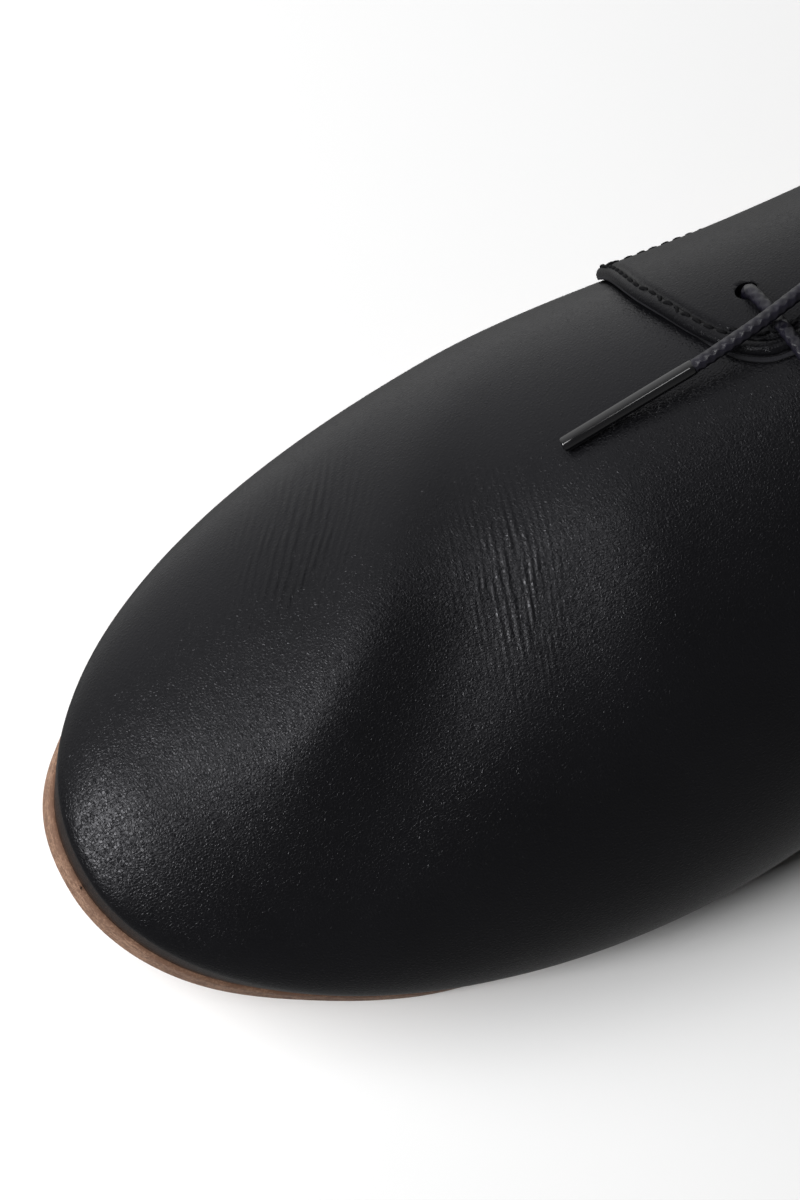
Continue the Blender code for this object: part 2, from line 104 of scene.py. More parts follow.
# One row per section of the last. Columns: share of length, ridge height, ridge shift to the medial
# side, fullness of the curve over the foot, height of the widest line over the sole, and how far the
# lower edge is tucked in on the medial and on the lateral side.
SECTIONS = (
    (0.00, 0.0980, 0.0000, 1.70, 0.0240, 0.0015, 0.0015),
    (0.13, 0.0980, 0.0000, 1.70, 0.0240, 0.0020, 0.0020),
    (0.28, 0.0970, 0.0005, 1.75, 0.0215, 0.0038, 0.0028),
    (0.36, 0.0938, 0.0014, 1.80, 0.0190, 0.0052, 0.0036),
    (0.44, 0.0852, 0.0029, 1.86, 0.0172, 0.0060, 0.0045),
    (0.50, 0.0768, 0.0040, 1.90, 0.0160, 0.0062, 0.0051),
    (0.57, 0.0690, 0.0050, 1.95, 0.0147, 0.0062, 0.0054),
    (0.65, 0.0622, 0.0047, 2.05, 0.0134, 0.0061, 0.0055),
    (0.75, 0.0524, 0.0034, 2.17, 0.0122, 0.0058, 0.0053),
    (0.85, 0.0425, 0.0019, 2.25, 0.0104, 0.0049, 0.0011),
    (0.93, 0.0345, 0.0008, 2.25, 0.0088, 0.0028, 0.0009),
    (0.97, 0.0309, 0.0003, 2.25, 0.0081, 0.0020, 0.0001),
    (1.00, 0.0282, 0.0000, 2.25, 0.0075, -0.0001, -0.0001),
)
FAN_START = 0.700
FAN_RATE = 0.545
SEAT_START = 0.130
SEAT_RATE = 0.30

# Throat and collar
THROAT_FRONT = 0.570
FACING_FRONT = 0.598
THROAT_ROUND = 0.0060
THROAT_HALF = 0.0071
THROAT_SPREAD = 0.040
FACING_TOP = 0.440
COLLAR = (
    (0.000, 0.0750),
    (0.060, 0.0725),
    (0.140, 0.0655),
    (0.230, 0.0605),
    (0.310, 0.0630),
    (0.380, 0.0715),
    (0.440, 0.0850),
)

# Quarter: front edge as rise from the lower edge to the facing, then share of length, and the height
# of the lower edge over the sole as share of length, then metres
FRONT_EDGE = (
    (0.00, 0.5985),
    (0.25, 0.6045),
    (0.50, 0.6112),
    (0.79, 0.6070),
    (1.00, 0.6060),
)
LOWER_EDGE = (
    (0.400, 0.0000),
    (0.450, 0.0040),
    (0.500, 0.0120),
    (0.550, 0.0180),
    (0.600, 0.0195),
)
FACING_CORNER = 0.0090
FACING_CORNER_START = 0.70
TAB_CORNER = 0.0040
TAB_CORNER_END = 0.12
FACING_LIP = 0.0008
LIFT_START = 0.480
LIFT_END = 0.590
LIFT_LOW = 0.026
LIFT_HIGH = 0.046
EDGE_LIFT = 0.0005
BACK_SEAM = 0.000002
LOWER_EDGE_START = 0.415
EDGE_DROP = 0.75
SEAM_DEPTH = 0.00050
SEAM_HALF = 0.00045
PAD_HEIGHT = 0.00015
PAD_HALF = 0.0010

# Lining of the facing: where it starts on the front edge, how far it shows and how high it lies
LINING_START = 0.45
LINING_SETBACK = 0.0006
LINING_PEEP = 0.0008
PEEP_START = 0.72
PEEP_END = 0.92
LINING_LIP = 0.0006
LINING_TOP = 0.005
LINING_OUTSIDE = 0.00045
LINING_INSIDE = 0.0001

# Tongue
TONGUE_FRONT = 0.650
TONGUE_TOP = 0.405
TONGUE_HALF_FRONT = 0.0170
TONGUE_HALF_TOP = 0.0270
TONGUE_TAPER = 0.012
TONGUE_TAPER_START = 0.85
TONGUE_ROUND = 0.0012
TONGUE_OUTER_DROP = 0.0006
TONGUE_INNER_DROP = 0.0004

# Rounding of the sole's rims, and the height over the sole under which the upper's wall stays level
SOLE_ROUND = 0.0006
HEEL_ROUND = 0.0005
INSOLE_ROUND = 0.0005
LEVEL_WALL = 0.0013

# Lace
LACE_DIAMETER = 0.0023
EYELETS = (0.571, 0.523, 0.475)
EYELET_SETBACK = 0.0095
LACE_SINK = 0.0026
PUNCH_LOW = -0.0050
PUNCH_HIGH = 0.0060
AGLET_LENGTH = 0.0215
AGLET_DIAMETER = 0.0024

# Soft folds of the vamp. Each row: three places along the fold, in millimetres from the heel's back and
# to the left of the last's axis, then its half-width and its height, a trough where negative.
FOLDS = (
    ((252.0, 6.0), (234.0, -8.0), (200.0, -33.0), 6.5, 1.2),
    ((248.0, 22.0), (225.0, 4.0), (209.0, -13.0), 9.0, -1.1),
    ((208.0, 26.0), (194.0, 6.0), (192.0, -16.0), 10.0, 1.1),
    ((268.0, -20.0), (264.0, -8.0), (263.0, 8.0), 5.0, -0.22),
)

# Patches of fine flex wrinkles: middle in millimetres as above, half-length, half-width, direction of the
# lines in degrees from the last's axis, their distance apart and their depth
WRINKLES = (
    ((230.0, -27.0), 26.0, 13.0, 43.0, 1.0, 0.16),
    ((209.0, -7.0), 28.0, 12.0, 70.0, 1.0, 0.09),
)

# Grain: how steeply a pebble may lean, its height, its share of soft edge and how its outline is bent
PEBBLE_LEAN = 0.20
PEBBLE_LIFT = 0.000018
PEBBLE_EDGE = 0.22
WARP_SCALE = 900.0
WARP_REACH = 0.0003

# Scale of the wave texture at which its bands are one unit apart, and how much longer than wide they run
WAVE_SCALE = 0.314
WAVE_STRETCH = 3.0

# Where the camera looks, in millimetres on the last, and the lights round that place. Columns: power on the
# stage, name, direction, distance and size.
VIEW_CENTRE = (220.06, -11.76, 30.0)
LIGHTS = (
    ("key", "key_softbox", (0.86, -0.18, 0.48), 1.10, (0.30, 0.10)),
    ("middle", "vamp_softbox", (0.62, -0.18, 0.76), 1.10, (0.14, 0.14)),
    ("window", "high_window", (0.42, -0.10, 0.90), 1.20, (0.18, 0.18)),
    ("fill", "front_panel", (0.58, -0.45, 0.68), 1.50, (1.20, 1.20)),
)
FLOOR_HALF = 4.0

# Brightness of the studio's walls, from the lateral side at 0 to the medial side at 1, and that direction
WALL_AXIS = (-0.15, -0.97, 0.20)
WALLS = (
    (0.00, 0.18),
    (0.30, 0.11),
    (0.60, 0.11),
    (0.80, 0.48),
    (1.00, 0.85),
)


def colour_property(name, description, default):
    """Colour that a user can change."""
    return bpy.props.FloatVectorProperty(name=name, description=description, default=default,
                                         size=3, min=0.0, max=1.0, subtype="COLOR")


def length_property(name, description, default):
    """Length that a user can change, in metres."""
    return bpy.props.FloatProperty(name=name, description=description, default=default, unit="LENGTH")


class ShoeColours(bpy.types.PropertyGroup):
    """Colours of the shoe's materials and of the floor."""

    leather: colour_property(
        "Leather", "Black grain leather of the upper and quarters", (0.0025, 0.0025, 0.0031))
    cut_edge: colour_property("Cut edge", "Painted cut edges of the leather", (0.020, 0.020, 0.023))
    flesh_side: colour_property("Flesh side", "Rough dark underside of the facing", (0.010, 0.010, 0.012))
    lining: colour_property("Lining", "Lining and insole leather", (0.10, 0.09, 0.09))
    sole_edge: colour_property("Sole edge", "Trimmed edge of the leather sole", (0.27, 0.165, 0.11))
    # Dark colour of the sole's edge: its fibres and dirt, and the painted shade at its top under the upper.
    sole_dark: colour_property(
        "Sole fibres", "Dark fibres and dirt on the sole's edge", (0.12, 0.065, 0.042))
    thread: colour_property("Thread", "Sewing thread", (0.0018, 0.0018, 0.0022))
    lace: colour_property("Lace", "Waxed round braid", (0.0034, 0.0030, 0.0062))
    aglet: colour_property("Aglet", "Glossy plastic tube on the lace's end", (0.0025, 0.0025, 0.0030))
    floor: colour_property("Floor", "Pale studio floor", (0.92, 0.92, 0.92))


class ShoeSizes(bpy.types.PropertyGroup):
    """Sizes of the fine detail."""

    grain: length_property("Grain", "Width of one pebble of the grain", 0.00046)
    stitch_pitch: length_property("Stitch pitch", "Distance from stitch to stitch", 0.0023)
    stitch_setback: length_property("Stitch setback", "Distance of the seam from the edge", 0.0023)
    thread: length_property("Thread", "Thickness of the thread", 0.00062)
    edge_round: length_property("Edge rounding", "Radius of the quarter's edges", 0.0010)
    eyelet: length_property("Eyelet", "Width of a punched eyelet hole", 0.0034)


class ShoeStage(bpy.types.PropertyGroup):
    """Camera and light, read from the photograph."""

    azimuth: bpy.props.FloatProperty(
        name="Azimuth", description="Camera's direction round the shoe",
        default=math.radians(97.67), subtype="ANGLE")
    elevation: bpy.props.FloatProperty(
        name="Elevation", description="Camera's height over the horizon",
        default=math.radians(75.9), subtype="ANGLE")
    roll: bpy.props.FloatProperty(
        name="Roll", description="Camera's turn about its own axis",
        default=math.radians(51.3), subtype="ANGLE")
    distance: length_property("Distance", "From the camera to the vamp", 0.69878)
    lens: bpy.props.FloatProperty(
        name="Lens", description="Focal length in millimetres", default=141.5)
    key: bpy.props.FloatProperty(
        name="Key", description="Power of the softbox before the toe, in watts", default=6.0)
    fill: bpy.props.FloatProperty(
        name="Fill", description="Power of the broad panel before the toe, in watts", default=30.0)
    middle: bpy.props.FloatProperty(
        name="Middle", description="Power of the softbox over the toe, in watts", default=0.8)
    window: bpy.props.FloatProperty(
        name="Window", description="Power of the dim high light over the vamp, in watts", default=0.75)
    sky: bpy.props.FloatProperty(
        name="Sky", description="Strength of the light from the walls", default=1.6)


def curve(rows, column=1):
    """Smooth curve through table rows, flat at both ends."""
    places = np.array([row[0] for row in rows])
    values = np.array([row[column] for row in rows])
    steps = np.diff(places)
    rises = np.diff(values) / steps
    count = len(rows)
    system = np.eye(count)
    right = np.zeros(count)
    for i in range(1, count - 1):
        system[i, i - 1:i + 2] = steps[i], 2.0 * (steps[i - 1] + steps[i]), steps[i - 1]
        right[i] = 3.0 * (steps[i] * rises[i - 1] + steps[i - 1] * rises[i])
    slopes = np.linalg.solve(system, right)

    def value(place):
        place = np.clip(place, places[0], places[-1])
        i = np.clip(np.searchsorted(places, place) - 1, 0, count - 2)
        t = (place - places[i]) / steps[i]
        start = (1 + 2 * t) * (1 - t) ** 2 * values[i] + t * (1 - t) ** 2 * steps[i] * slopes[i]
        end = t * t * (3 - 2 * t) * values[i + 1] + t * t * (t - 1) * steps[i] * slopes[i + 1]
        return start + end

    return value


def ease(place, start, end):
    """Smooth step from 0 at start to 1 at end."""
    t = np.clip((place - start) / (end - start), 0.0, 1.0)
    return t * t * (3.0 - 2.0 * t)


WIDTH = {MEDIAL: curve(MEDIAL_WIDTHS), LATERAL: curve(LATERAL_WIDTHS)}
BALL = {MEDIAL: MEDIAL_WIDTHS[-1][0], LATERAL: LATERAL_WIDTHS[-1][0]}
RIDGE = curve(SECTIONS, 1)
SHIFT = curve(SECTIONS, 2)
FULLNESS = curve(SECTIONS, 3)
WIDEST = curve(SECTIONS, 4)
TUCK = {MEDIAL: curve(SECTIONS, 5), LATERAL: curve(SECTIONS, 6)}
COLLAR_HEIGHT = curve(COLLAR)
EDGE_SHARE = curve(FRONT_EDGE)
EDGE_HEIGHT = curve(LOWER_EDGE)


def half_width(side, share):
    """Half-width of the widest line at a share of the length."""
    ahead = np.clip((share - BALL[side]) / (1.0 - BALL[side]), 0.0, 1.0)
    toe = (1.0 - ahead ** TOE_POWER[side]) ** (1.0 / TOE_POWER[side])
    behind = np.clip((SEAT_START - share) / SEAT_START, 0.0, 1.0)
    seat = (1.0 - behind ** HEEL_POWER) ** (1.0 / HEEL_POWER)
    return WIDTH[side](share) * toe * seat


def spine_share(share):
    """Where the section that starts at this share of the outline meets the ridge."""
    ahead = FAN_START + FAN_RATE * (share - FAN_START)
    behind = SEAT_START + SEAT_RATE * (share - SEAT_START)
    return np.where(share > FAN_START, ahead, np.where(share < SEAT_START, behind, share))


def ground(share):
    """Height of the sole's underside."""
    arch = HEEL_HEIGHT * (1.0 - ease(share, ARCH_START, ARCH_END))
    t = np.clip((share - SPRING_START) / (1.0 - SPRING_START), 0.0, 2.0)
    return arch + TOE_SPRING * t ** SPRING_POWER


def feather(share):
    """Height of the sole's upper side."""
    return ground(share) + SOLE_THICKNESS


def section_ends(side, share):
    """Outline point and ridge point of each section, in plan."""
    place = spine_share(share)
    outer = np.stack([share * LENGTH, side * half_width(side, share)], -1)
    inner = np.stack([place * LENGTH, MEDIAL * SHIFT(place)], -1)
    return outer, inner


def from_millimetres(x, y):
    """X and Y in the shared frame of a plan place in millimetres on the last."""
    return x * MM + HEEL_BACK, y * MM - MIDDLE_Y


def in_frame(plan, height):
    """Points of the shared frame from plan places on the last and heights."""
    return np.stack([plan[..., 0] + HEEL_BACK, plan[..., 1] - MIDDLE_Y, height], -1)


def upper_points(side, share, turn):
    """Points on the outside of the upper; turn runs from -1 at the sole through 0 to 1 at the ridge."""
    share, turn = np.broadcast_arrays(np.asarray(share, float), np.asarray(turn, float))
    outer, inner = section_ends(side, share)
    reach = np.linalg.norm(outer - inner, axis=-1)
    angle = 0.5 * np.pi * np.clip(turn, 0.0, 1.0)
    low = np.clip(turn, -1.0, 0.0)
    out = np.maximum(np.cos(angle), 0.0) ** (2.0 / FULLNESS(share)) - TUCK[side](share) / reach * low ** 2
    plan = inner + (outer - inner) * out[..., None]
    widest = feather(share) + WIDEST(share)
    rise = (RIDGE(plan[..., 0] / LENGTH) - widest) * np.sin(angle)
    return in_frame(plan, widest + WIDEST(share) * low + rise)


def facing_half(share):
    """Distance of the facing's edge from the ridge."""
    return THROAT_HALF + THROAT_SPREAD * (FACING_FRONT - share) * LENGTH


def throat_half(share, widen=0.0):
    """Half-width of the throat; zero ahead of it, with a rounded front end."""
    front = np.maximum((THROAT_FRONT - share) * LENGTH, 0.0)
    rounded = np.sqrt(np.clip(1.0 - (1.0 - front / THROAT_ROUND) ** 2, 0.0, 1.0))
    return (facing_half(share) + widen) * np.where(front < THROAT_ROUND, rounded, 1.0)


def turn_at_offset(side, share, offset):
    """Turn at which a section is this far from the ridge."""
    outer, inner = section_ends(side, share)
    ratio = np.clip(offset / np.linalg.norm(outer - inner, axis=-1), 0.0, 1.0)
    return np.arccos(ratio ** (FULLNESS(share) / 2.0)) / (0.5 * np.pi)


def turn_at_height(share, height):
    """Turn at which a section reaches this height, above or below its widest line."""
    widest = feather(share) + WIDEST(share)
    ridge = RIDGE(spine_share(share))
    above = np.arcsin(np.clip((height - widest) / (ridge - widest), 0.0, 1.0)) / (0.5 * np.pi)
    return np.where(height < widest, (height - widest) / WIDEST(share), above)


def last_turn(side, share, widen=0.0):
    """Turn at which the upper ends: at the ridge, the throat or the collar."""
    throat = turn_at_offset(side, share, throat_half(share, widen))
    collar = turn_at_height(share, COLLAR_HEIGHT(share))
    behind = np.where(share < FACING_TOP, np.minimum(throat, collar), throat)
    return np.where(share >= THROAT_FRONT, 1.0, behind)


def spread(start, end, count, gather=0.0):
    """Even steps from start to end, drawn towards both ends by a gathering share."""
    t = np.linspace(0.0, 1.0, count)
    return start + (end - start) * (t - gather * np.sin(2.0 * np.pi * t) / (2.0 * np.pi))


def lerp(a, b, t):
    """Point between two points."""
    return a + (b - a) * t


def unit(rows):
    """Directions of length one."""
    return rows / np.maximum(np.linalg.norm(rows, axis=-1, keepdims=True), 1e-9)


def run_lengths(points):
    """Distance of each point of a run from its start, along the run."""
    return np.concatenate([[0.0], np.cumsum(np.linalg.norm(np.diff(points, axis=0), axis=1))])


def along_run(where, lengths, values):
    """Values of a run at distances from its start."""
    return np.stack([np.interp(where, lengths, values[:, k]) for k in range(3)], -1)


def ring_angles(count):
    """Even angles once round."""
    return np.linspace(0.0, 2.0 * np.pi, count, endpoint=False)


def rounding(edge, radius):
    """Share of a rounded edge's drop, from 1 at the edge to 0 where the rounding ends."""
    bend = np.clip(edge / radius, 0.0, 1.0)
    return 1.0 - np.sqrt(1.0 - (1.0 - bend) ** 2)


def heel_shares(count):
    """Shares of the length round the seat, close together at the heel's back."""
    return SEAT_START * (1.0 - np.cos(0.5 * np.pi * np.arange(count) / count))


def toe_shares(count):
    """Shares of the length round the toe, close together at its tip."""
    return FAN_START + (1.0 - FAN_START) * np.sin(0.5 * np.pi * np.arange(count + 1) / count)


def grid_mesh(grids):
    """One welded open sheet from grids of points, as a bmesh that faces out from the last's axis."""
    weld = 0.00002
    speck = 0.000001
    sheet = bmesh.new()
    for points in grids:
        columns, rows = points.shape[:2]
        verts = [sheet.verts.new(point) for point in points.reshape(-1, 3)]
        for i in range(columns - 1):
            for j in range(rows - 1):
                a = i * rows + j
                corners = (verts[a], verts[a + rows], verts[a + rows + 1], verts[a + 1])
                sheet.faces.new(corners)
    bmesh.ops.remove_doubles(sheet, verts=sheet.verts, dist=weld)
    bmesh.ops.dissolve_degenerate(sheet, edges=sheet.edges, dist=speck)
    bmesh.ops.recalc_face_normals(sheet, faces=sheet.faces)
    sheet.normal_update()
    out = sum(vert.normal.z + 2.0 * vert.normal.y * math.copysign(1.0, vert.co.y) for vert in sheet.verts)
    if out < 0.0:
        bmesh.ops.reverse_faces(sheet, faces=sheet.faces)
        sheet.normal_update()
    sheet.verts.index_update()
    sheet.verts.ensure_lookup_table()
    return sheet


def sheet_arrays(sheet):
    """Places and normals of a sheet's points."""
    places = np.array([vert.co for vert in sheet.verts])
    normals = np.array([vert.normal for vert in sheet.verts])
    return places, normals


def add_piece(name, points, faces, materials, face_materials=None):
    """New smooth mesh object that rides on the shoe."""
    mesh = bpy.data.meshes.new(name)
    mesh.from_pydata([tuple(point) for point in points], [], faces)
    for skin in materials:
        mesh.materials.append(skin)
    if face_materials is not None:
        mesh.polygons.foreach_set("material_index", face_materials)
    mesh.polygons.foreach_set("use_smooth", [True] * len(mesh.polygons))
    mesh.validate()
    mesh.update()
    made = bpy.data.objects.new(name, mesh)
    bpy.context.scene.collection.objects.link(made)
    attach(made, "root")
    return made


def shell(name, sheet, outer, inner, materials):
    """Closed shell between two copies of a sheet; materials are outside, inside and cut edge."""
    count = len(sheet.verts)
    faces = []
    kinds = []
    for face in sheet.faces:
        loop = [vert.index for vert in face.verts]
        faces.append(loop)
        kinds.append(0)
        faces.append([count + i for i in reversed(loop)])
        kinds.append(1)
    for edge in sheet.edges:
        if edge.is_boundary:
            loop = edge.link_loops[0]
            a = loop.vert.index
            b = loop.link_loop_next.vert.index
            faces.append([b, a, count + a, count + b])
            kinds.append(2)
    points = np.concatenate([outer, inner])
    return add_piece(name, points, faces, materials, kinds)


def distance_to_line(places, line):
    """Distance of each place from a run of points, and how far along the run its nearest place lies."""
    best = np.full(len(places), 1e9)
    along = np.zeros(len(places))
    for i, (a, b) in enumerate(zip(line, line[1:])):
        step = b - a
        t = np.clip((places - a) @ step / max(step @ step, 1e-12), 0.0, 1.0)
        far = np.linalg.norm(places - a - t[:, None] * step, axis=1)
        nearer = far < best
        best = np.where(nearer, far, best)
        along = np.where(nearer, (i + t) / (len(line) - 1), along)
    return best, along


def smooth_route(points, step):
    """Points at an even step on a smooth curve through route points, as in the CAD."""
    finer = 24
    points = [np.asarray(point, float) for point in points]
    last = len(points) - 1
    dense = []
    for i in range(last):
        before = points[max(i - 1, 0)]
        after = points[min(i + 2, last)]
        a = points[i]
        b = points[i + 1]
        for t in np.arange(finer) / finer:
            start = a * (1 + 2 * t) * (1 - t) ** 2 + 0.5 * (b - before) * t * (1 - t) ** 2
            end = b * t * t * (3 - 2 * t) + 0.5 * (after - a) * t * t * (t - 1)
            dense.append(start + end)
    dense.append(points[-1])
    dense = np.array(dense)
    lengths = run_lengths(dense)
    even = np.linspace(0.0, lengths[-1], max(int(round(lengths[-1] / step)), 2) + 1)
    return along_run(even, lengths, dense)


def drop_on(tree, x, y):
    """Point of a sheet under a place in plan, in millimetres on the last."""
    start = Vector((*from_millimetres(x, y), 1.0))
    hit = tree.ray_cast(start, Vector((0.0, 0.0, -1.0)))[0]
    if hit is None:
        raise RuntimeError("no leather under %.1f, %.1f" % (x, y))
    return np.array(hit)


class Nodes:
    """Short way to write a material's nodes."""

    def __init__(self, name):
        self.material = bpy.data.materials.new(name)
        self.material.use_nodes = True
        self.tree = self.material.node_tree
        self.shader = self.tree.nodes["Principled BSDF"]

    def add(self, kind, values=None, **settings):
        """New node with settings; values are put on, or linked to, its inputs."""
        made = self.tree.nodes.new("ShaderNode" + kind)
        for key, value in settings.items():
            setattr(made, key, value)
        for key, value in (values or {}).items():
            self.put(made.inputs[key], value)
        return made

    def put(self, socket, value):
        """Link a socket, or set a plain value."""
        if isinstance(value, bpy.types.NodeSocket):
            self.tree.links.new(value, socket)
        else:
            socket.default_value = value

    def shade(self, **values):
        """Put values on the shader's sockets, named with underscores for spaces."""
        for key, value in values.items():
            self.put(self.shader.inputs[key.replace("_", " ")], value)

    def operate(self, kind, operation, values):
        """New node of sums with values on its inputs, in order."""
        made = self.add(kind, operation=operation)
        for socket, value in zip(made.inputs, values):
            self.put(socket, value)
        return made

    def math(self, operation, *values):
        """Result of one sum."""
        return self.operate("Math", operation, values).outputs[0]

    def vector(self, operation, *values):
        """Result of one sum of vectors."""
        return self.operate("VectorMath", operation, values).outputs["Vector"]

    def place(self, stretch=(1.0, 1.0, 1.0)):
        """Place in the shared frame, in metres, stretched."""
        spot = self.add("TexCoord").outputs["Object"]
        return self.add("Mapping", {"Vector": spot, "Scale": stretch}).outputs[0]

    def patch(self, middle, half_length, half_width_mm, degrees):
        """Place inside an oval patch of the last, in its half-sizes, and its soft mask."""
        made = self.add("Mapping", {
            "Vector": self.add("TexCoord").outputs["Object"],
            "Location": (*from_millimetres(*middle), 0.0),
            "Rotation": (0.0, 0.0, math.radians(degrees)),
            "Scale": (half_length * MM, half_width_mm * MM, 1.0),
        }, vector_type="TEXTURE")
        flat = self.vector("MULTIPLY", made.outputs[0], (1.0, 1.0, 0.0))
        mask = self.add("TexGradient", {"Vector": flat}, gradient_type="QUADRATIC_SPHERE")
        return flat, mask.outputs["Fac"]

    def noise(self, vector, scale, detail=2.0, roughness=0.5):
        """Soft noise from 0 to 1."""
        made = self.add("TexNoise", {"Vector": vector, "Scale": scale, "Detail": detail,
                                     "Roughness": roughness})
        return made.outputs["Fac"]

    def cell_edges(self, vector, width):
        """Distance from the nearest edge between cells, in widths of a cell."""
        made = self.add("TexVoronoi", {"Vector": vector, "Scale": 1.0 / width}, feature="DISTANCE_TO_EDGE")
        return made.outputs["Distance"]

    def lean(self, vector, width):
        """Height of a flat top over each cell that leans its own way."""
        cell = self.add("TexVoronoi", {"Vector": vector, "Scale": 1.0 / width})
        tilt = self.vector("SUBTRACT", cell.outputs["Color"], (0.5, 0.5, 0.5))
        from_middle = self.vector("SUBTRACT", vector, cell.outputs["Position"])
        made = self.operate("VectorMath", "DOT_PRODUCT", (tilt, from_middle))
        return self.math("MULTIPLY", made.outputs["Value"], PEBBLE_LEAN)

    def ramp(self, value, low, high, to_low=0.0, to_high=1.0):
        """Value mapped from one range to another."""
        made = self.add("MapRange", {"Value": value, "From Min": low, "From Max": high,
                                     "To Min": to_low, "To Max": to_high})
        return made.outputs["Result"]

    def blend(self, factor, a, b):
        """Colour between two colours."""
        made = self.add("Mix", data_type="RGBA")
        self.put(made.inputs["Factor"], factor)
        self.put(made.inputs["A"], a)
        self.put(made.inputs["B"], b)
        return made.outputs["Result"]

    def bump(self, height, distance, strength=1.0, normal=None):
        """Normal from a height."""
        made = self.add("Bump", {"Height": height, "Distance": distance, "Strength": strength})
        if normal is not None:
            self.put(made.inputs["Normal"], normal)
        return made.outputs["Normal"]


def opaque(colour):
    """Colour with full alpha."""
    return (*colour, 1.0)


def wrinkled_normal(nodes, normal):
    """Normal with the patches of fine flex wrinkles added."""
    for middle, half_length, half_width_mm, degrees, apart, depth in WRINKLES:
        flat, mask = nodes.patch(middle, half_length, half_width_mm, degrees)
        spot = nodes.vector("MULTIPLY", flat, (half_length / WAVE_STRETCH, half_width_mm, 0.0))
        lines = nodes.add("TexWave", {"Vector": spot, "Scale": WAVE_SCALE / apart, "Distortion": 7.0,
                                      "Detail": 2.0, "Detail Scale": 0.35}, bands_direction="Y")
        broken = nodes.ramp(nodes.noise(spot, 0.45), 0.35, 0.60)
        lines_left = nodes.math("MULTIPLY", lines.outputs["Fac"], broken)
        fold = nodes.math("MULTIPLY", lines_left, nodes.ramp(mask, 0.0, 0.55))
        normal = nodes.bump(fold, depth * MM, normal=normal)
    return normal


def grain_leather(name, colour, gloss, wrinkled=False):
    """Fine pebbled black leather with a satin finish."""
    sizes = bpy.context.scene.shoe_sizes
    nodes = Nodes(name)
    spot = nodes.place()
    warp = nodes.add("TexNoise", {"Vector": spot, "Scale": WARP_SCALE, "Detail": 1.0})
    bent = nodes.vector("MULTIPLY_ADD", warp.outputs["Color"], (WARP_REACH, WARP_REACH, WARP_REACH), spot)
    pebble = nodes.ramp(nodes.cell_edges(bent, sizes.grain), 0.0, PEBBLE_EDGE)
    top = nodes.math("ADD", nodes.lean(bent, sizes.grain), PEBBLE_LIFT)
    normal = nodes.bump(nodes.math("MULTIPLY", pebble, top), 1.0)
    if wrinkled:
        normal = wrinkled_normal(nodes, normal)
    worn = nodes.noise(spot, 60.0, 3.0, 0.55)
    shade = nodes.ramp(worn, 0.3, 0.7)
    nodes.shade(Base_Color=nodes.blend(shade, opaque(colour * 0.85), opaque(colour * 1.2)))
    pebble_gloss = nodes.ramp(pebble, 0.0, 1.0, 0.08, 0.0)
    nodes.shade(Roughness=nodes.math("ADD", nodes.ramp(worn, 0.25, 0.75, 0.276, 0.29), pebble_gloss))
    nodes.shade(Specular_IOR_Level=gloss, Specular_Tint=(0.95, 0.95, 1.0, 1.0), Normal=normal)
    return nodes.material


def rough_leather(name, colour, scale, depth, roughness=0.85):
    """Matte leather with a short nap, for lining, insole and cut edges."""
    nodes = Nodes(name)
    spot = nodes.place()
    nap = nodes.noise(spot, scale, 4.0, 0.65)
    cloud = nodes.noise(spot, 90.0, 2.0)
    shade = nodes.ramp(nodes.math("ADD", nap, cloud), 0.6, 1.4)
    nodes.shade(Base_Color=nodes.blend(shade, opaque(colour * 0.65), opaque(colour * 1.35)))
    nodes.shade(Roughness=nodes.ramp(nap, 0.2, 0.8, roughness - 0.1, roughness + 0.08))
    nodes.shade(Specular_IOR_Level=0.3, Normal=nodes.bump(nap, depth))
    return nodes.material


def sole_leather(name, colour, dark):
    """Trimmed leather edge: fibres along it, fine pits and a dark line of painted shade at the top under
    the upper.
    """
    nodes = Nodes(name)
    spot = nodes.place()
    fibre = nodes.noise(nodes.place(stretch=(0.35, 0.35, 1.6)), 1500.0, 4.0, 0.7)
    pits = nodes.noise(spot, 2600.0, 3.0, 0.7)
    cloud = nodes.noise(spot, 120.0, 2.0)
    depth = nodes.add("Attribute", attribute_name="edge_depth").outputs["Fac"]
    # Painted shade: the edge is darkened near its top, in the crevice under the upper's overhang.
    seam = nodes.ramp(depth, 0.0, 0.28, 0.55, 0.0)
    speckle = nodes.ramp(nodes.math("ADD", fibre, pits), 0.90, 1.12, 0.95, 0.0)
    tone = nodes.math("ADD", nodes.math("ADD", speckle, seam), nodes.ramp(cloud, 0.35, 0.7, -0.1, 0.25))
    clamp = nodes.add("Clamp", {"Value": tone}).outputs[0]
    nodes.shade(Base_Color=nodes.blend(clamp, opaque(colour), opaque(dark)))
    nodes.shade(Roughness=nodes.ramp(fibre, 0.3, 0.7, 0.62, 0.80), Specular_IOR_Level=0.35)
    nodes.shade(Normal=nodes.bump(nodes.math("ADD", fibre, pits), 0.00009, 0.8))
    return nodes.material


def waxed_braid(name, colour):
    """Round waxed braid: the strands are geometry, the fibres are bump."""
    nodes = Nodes(name)
    spot = nodes.place()
    fibre = nodes.noise(spot, 9000.0, 3.0, 0.6)
    wax = nodes.noise(spot, 700.0, 2.0)
    shade = nodes.ramp(wax, 0.3, 0.7)
    nodes.shade(Base_Color=nodes.blend(shade, opaque(colour * 0.7), opaque(colour * 1.6)))
    nodes.shade(Roughness=nodes.ramp(wax, 0.3, 0.7, 0.28, 0.40), Specular_IOR_Level=0.22)
    nodes.shade(Normal=nodes.bump(fibre, 0.00004, 0.6), Coat_Weight=0.3, Coat_Roughness=0.28)
    return nodes.material


